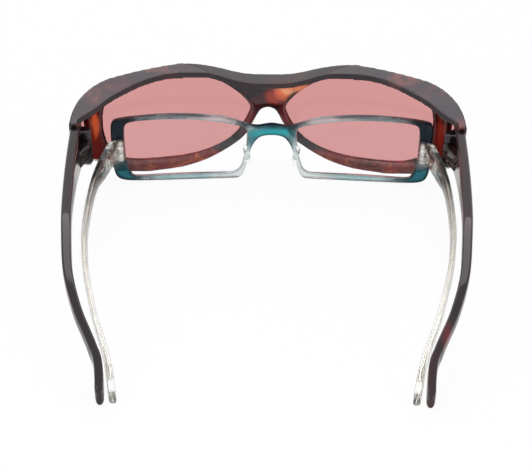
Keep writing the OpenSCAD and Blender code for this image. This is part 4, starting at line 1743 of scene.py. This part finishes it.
    def _hinged(self, piece: bpy.types.Object, side: Side) -> None:
        """Turns a piece of a temple about its hinge and puts it on its side.

        Args:
            piece: the piece, made straight and for the right side.
            side: the side that it is on.
        """
        turn = Matrix.Rotation(math.radians(-side.value * self.turn), 4, "Z")
        pivot = Matrix.Translation(Vector((*self.axis, 0)) * MM)
        piece.data.transform(pivot @ turn @ pivot.inverted())
        outwards(piece, flip=side is Side.LEFT)
        piece.data.transform(Matrix.Translation((self.stand.x * MM, 0, 0)))
        even_normals(piece)

    def temple(self, side: Side) -> bpy.types.Object:
        """One clear temple.

        Args:
            side: the side that it is on.

        Returns:
            The object.
        """
        at = stations(self.arm_gap, self.full)
        toe, drop = self._course(at)
        taper, fall = self.arm_t - self.arm_thin, self.arm_h - self.arm_least
        piece = Bar(f"crystal_arm_{side.word}", self.arm_finish,
                    {**self._sizes(at), "Thickness": self.arm_t, "Tip Thickness": self.arm_thin,
                     "Height": self.arm_h, "Least Height": self.arm_least, "Front Round": 0.5,
                     "Tip Round": 0.9}, toe, drop,
                    thick=[(u, (self._thick(d) - self.arm_thin) / taper) for u, d in at],
                    tall=[(u, (self._tall(d) - self.arm_least) / fall) for u, d in at],
                    rings=220, points=64).build()
        self._hinged(piece, side)
        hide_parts(f"reader_temple_{side.word}")
        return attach(piece, f"reader_arm_{side.word}")

    def wire(self, side: Side) -> bpy.types.Object:
        """One core wire, which ends in an arrow.

        Args:
            side: the side that it is on.

        Returns:
            The object.
        """
        at = stations(self.wire_from, self.wire_share * self.full + self.arrow_l)
        toe, drop = self._course(at, self.wire_w)
        plain = self.wire_w / self.arrow_w
        arrow = [(0, plain), (0.94, plain), (0.965, 1.0), (1, 0.14)]
        piece = Bar(f"arm_wire_{side.word}", self.wire_finish,
                    {**self._sizes(at), "Thickness": self.arrow_w, "Tip Thickness": 0,
                     "Height": self.arrow_w, "Least Height": 0, "Front Round": 0.1,
                     "Tip Round": 0.1}, toe, drop, arrow, arrow, rings=150, points=24,
                    squareness=2.0).build()
        self._hinged(piece, side)
        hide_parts(f"core_wire_{side.word}")
        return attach(piece, f"reader_arm_{side.word}")

    def pad(self, side: Side) -> bpy.types.Object:
        """One nose pad, a soft lozenge behind the nasal rim.

        Args:
            side: the side that it is on.

        Returns:
            The object.
        """
        bm = bmesh.new()
        bmesh.ops.create_uvsphere(bm, u_segments=28, v_segments=18, radius=1.0)
        for v in bm.verts:
            v.co = Vector([c * half for c, half in zip(v.co, self.pad_half)])
        tilt = Matrix.Rotation(math.radians(self.pad_tilt), 4, "Y")
        out, back, up = self.pad_at
        for v in bm.verts:
            p = tilt @ v.co
            q = self.stand.put(self.nasal + out + p.x, p.y + back, up + p.z)
            v.co = Vector((side.value * (q.x - self.stand.x) + self.stand.x, q.y, q.z)) * MM
        bm.normal_update()
        bmesh.ops.recalc_face_normals(bm, faces=bm.faces)
        mesh = bpy.data.meshes.new("pad")
        bm.to_mesh(mesh)
        bm.free()
        piece = keep(mesh, f"pad_{side.word}")
        piece.data.materials.append(self.pad_finish)
        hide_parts(f"nose_pad_{side.word}")
        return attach(piece, "reader")


def dress_nodes(frame: dict, names: list[str], finish: bpy.types.Material) -> None:
    """Gives kept nodes of the model a finish and broken edges.

    Args:
        names: the nodes.
        finish: the material that they take.
    """
    for name in names:
        node = frame["nodes"][name]
        node.data.materials.clear()
        node.data.materials.append(finish)
        weld = node.modifiers.new("weld", "WELD")
        weld.merge_threshold = 10 * JOIN
        bevel = node.modifiers.new("broken_edges", "BEVEL")
        bevel.width = 0.1 * MM
        bevel.segments = 2
        bevel.limit_method = "ANGLE"
        bevel.angle_limit = math.radians(35)
        log.info("node %s takes %s", name, finish.name)


# The studio


@dataclass(frozen=True)
class Lamp:
    """A square soft lamp: its place and size in metres, and its power."""

    name: str
    place: Spot
    size: float
    power: float


@dataclass(frozen=True)
class Studio:
    """A white table in soft light, and a camera above and behind the glasses."""

    floor_half: float = 1.6
    floor_z: float = -0.0001
    daylight: float = 0.62
    show: float = 0.93
    sheen: float = 0.8
    lamps: tuple[Lamp, ...] = (Lamp("lamp_above", (0.0, 0.30, 0.75), 0.8, 3.6),
                               Lamp("lamp_behind", (-0.45, -0.55, 0.55), 0.4, 1.1))
    eye: Spot = (0.0, -0.38635, 0.3051)
    tilt: float = 53.08
    roll: float = 0.0095
    focal: float = 89.77
    shift: float = -0.0015

    def floor(self) -> None:
        """The table, white to the camera, which keeps the object's shadow."""
        s = self.floor_half
        mesh = bpy.data.meshes.new("table")
        mesh.from_pydata([(-s, -s, 0), (s, -s, 0), (s, s, 0), (-s, s, 0)], [], [(0, 1, 2, 3)])
        table = bpy.data.objects.new("table", mesh)
        table.location.z = self.floor_z
        bpy.context.scene.collection.objects.link(table)
        material = bpy.data.materials.new("white_table")
        material.use_nodes = True
        w = Wiring(material.node_tree)
        shader = material.node_tree.nodes["Principled BSDF"]
        shader.inputs["Base Color"].default_value = (0.86, 0.86, 0.86, 1)
        shader.inputs["Roughness"].default_value = 0.22
        glow = w.add("ShaderNodeEmission", {"Color": (1, 1, 1, 1), "Strength": 1.0})
        path = w.add("ShaderNodeLightPath").outputs
        seen = w.math("MAXIMUM", w.times(path["Is Camera Ray"], self.show),
                      path["Is Transmission Ray"])
        mixed = w.add("ShaderNodeMixShader", {0: seen, 1: shader.outputs[0], 2: glow.outputs[0]})
        material.node_tree.links.new(mixed.outputs[0],
                                     material.node_tree.nodes["Material Output"].inputs[0])
        mesh.materials.append(material)

    def world(self) -> None:
        """Even light all round, which the camera and clear pieces see as white."""
        world = bpy.data.worlds.new("white_room")
        world.use_nodes = True
        bpy.context.scene.world = world
        w = Wiring(world.node_tree)
        path = w.add("ShaderNodeLightPath").outputs
        seen = w.math("MAXIMUM", path["Is Camera Ray"], path["Is Transmission Ray"])
        seen = w.math("MAXIMUM", seen, w.times(path["Is Glossy Ray"], self.sheen))
        strength = w.math("MULTIPLY_ADD", seen, 1.0 - self.daylight, self.daylight)
        back = world.node_tree.nodes["Background"]
        back.inputs["Color"].default_value = (1, 1, 1, 1)
        world.node_tree.links.new(strength, back.inputs["Strength"])

    def hang(self, lamp: Lamp) -> None:
        """Hangs a lamp, turned to the glasses.

        Args:
            lamp: the lamp.
        """
        light = bpy.data.lights.new(lamp.name, "AREA")
        light.shape = "SQUARE"
        light.size = lamp.size
        light.energy = lamp.power
        obj = bpy.data.objects.new(lamp.name, light)
        obj.location = lamp.place
        aim = Vector((0, 0, 0.02)) - Vector(lamp.place)
        obj.rotation_euler = aim.to_track_quat("-Z", "Y").to_euler()
        bpy.context.scene.collection.objects.link(obj)

    def camera(self) -> None:
        """The camera of the picture: behind and above the wearer's side."""
        data = bpy.data.cameras.new("camera")
        data.sensor_width = 36.0
        data.lens = self.focal
        data.shift_x = self.shift
        data.clip_start = 0.01
        obj = bpy.data.objects.new("camera", data)
        turn = (Matrix.Rotation(math.radians(self.tilt), 4, "X")
                @ Matrix.Rotation(self.roll, 4, "Z"))
        obj.matrix_world = Matrix.Translation(self.eye) @ turn
        bpy.context.scene.collection.objects.link(obj)
        bpy.context.scene.camera = obj

    def set_up(self) -> None:
        """Puts up the table, the light and the camera."""
        bpy.context.scene.view_settings.view_transform = "Standard"
        self.floor()
        self.world()
        for lamp in self.lamps:
            self.hang(lamp)
        self.camera()


def main() -> None:
    """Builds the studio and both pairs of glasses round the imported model."""
    logging.basicConfig(level=logging.INFO, format="%(name)s: %(message)s")
    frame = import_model()
    Studio().set_up()
    palette = Palette()
    cover = CoverGlasses(palette)
    reader = ReadingGlasses(palette)
    pieces = [cover.front(frame), reader.front()]
    for side in Side:
        pieces += [cover.lens(side), cover.side_lens(side), cover.temple(side), reader.lens(side),
                   reader.pad(side), reader.temple(side), reader.wire(side)]
        dress_nodes(frame, [f"front_leaf_{side.word}", f"temple_leaf_{side.word}"],
                    reader.hinge_finish)
        dress_nodes(frame, [f"front_rivets_{side.word}", f"temple_rivets_{side.word}",
                            f"reader_screw_{side.word}"], reader.screw_finish)
        dress_nodes(frame, [f"cover_screw_{side.word}"], cover.screw_finish)
    for piece in pieces:
        log.info("piece %s: %d faces", piece.name, len(piece.data.polygons))


if __name__ == "__main__":
    main()
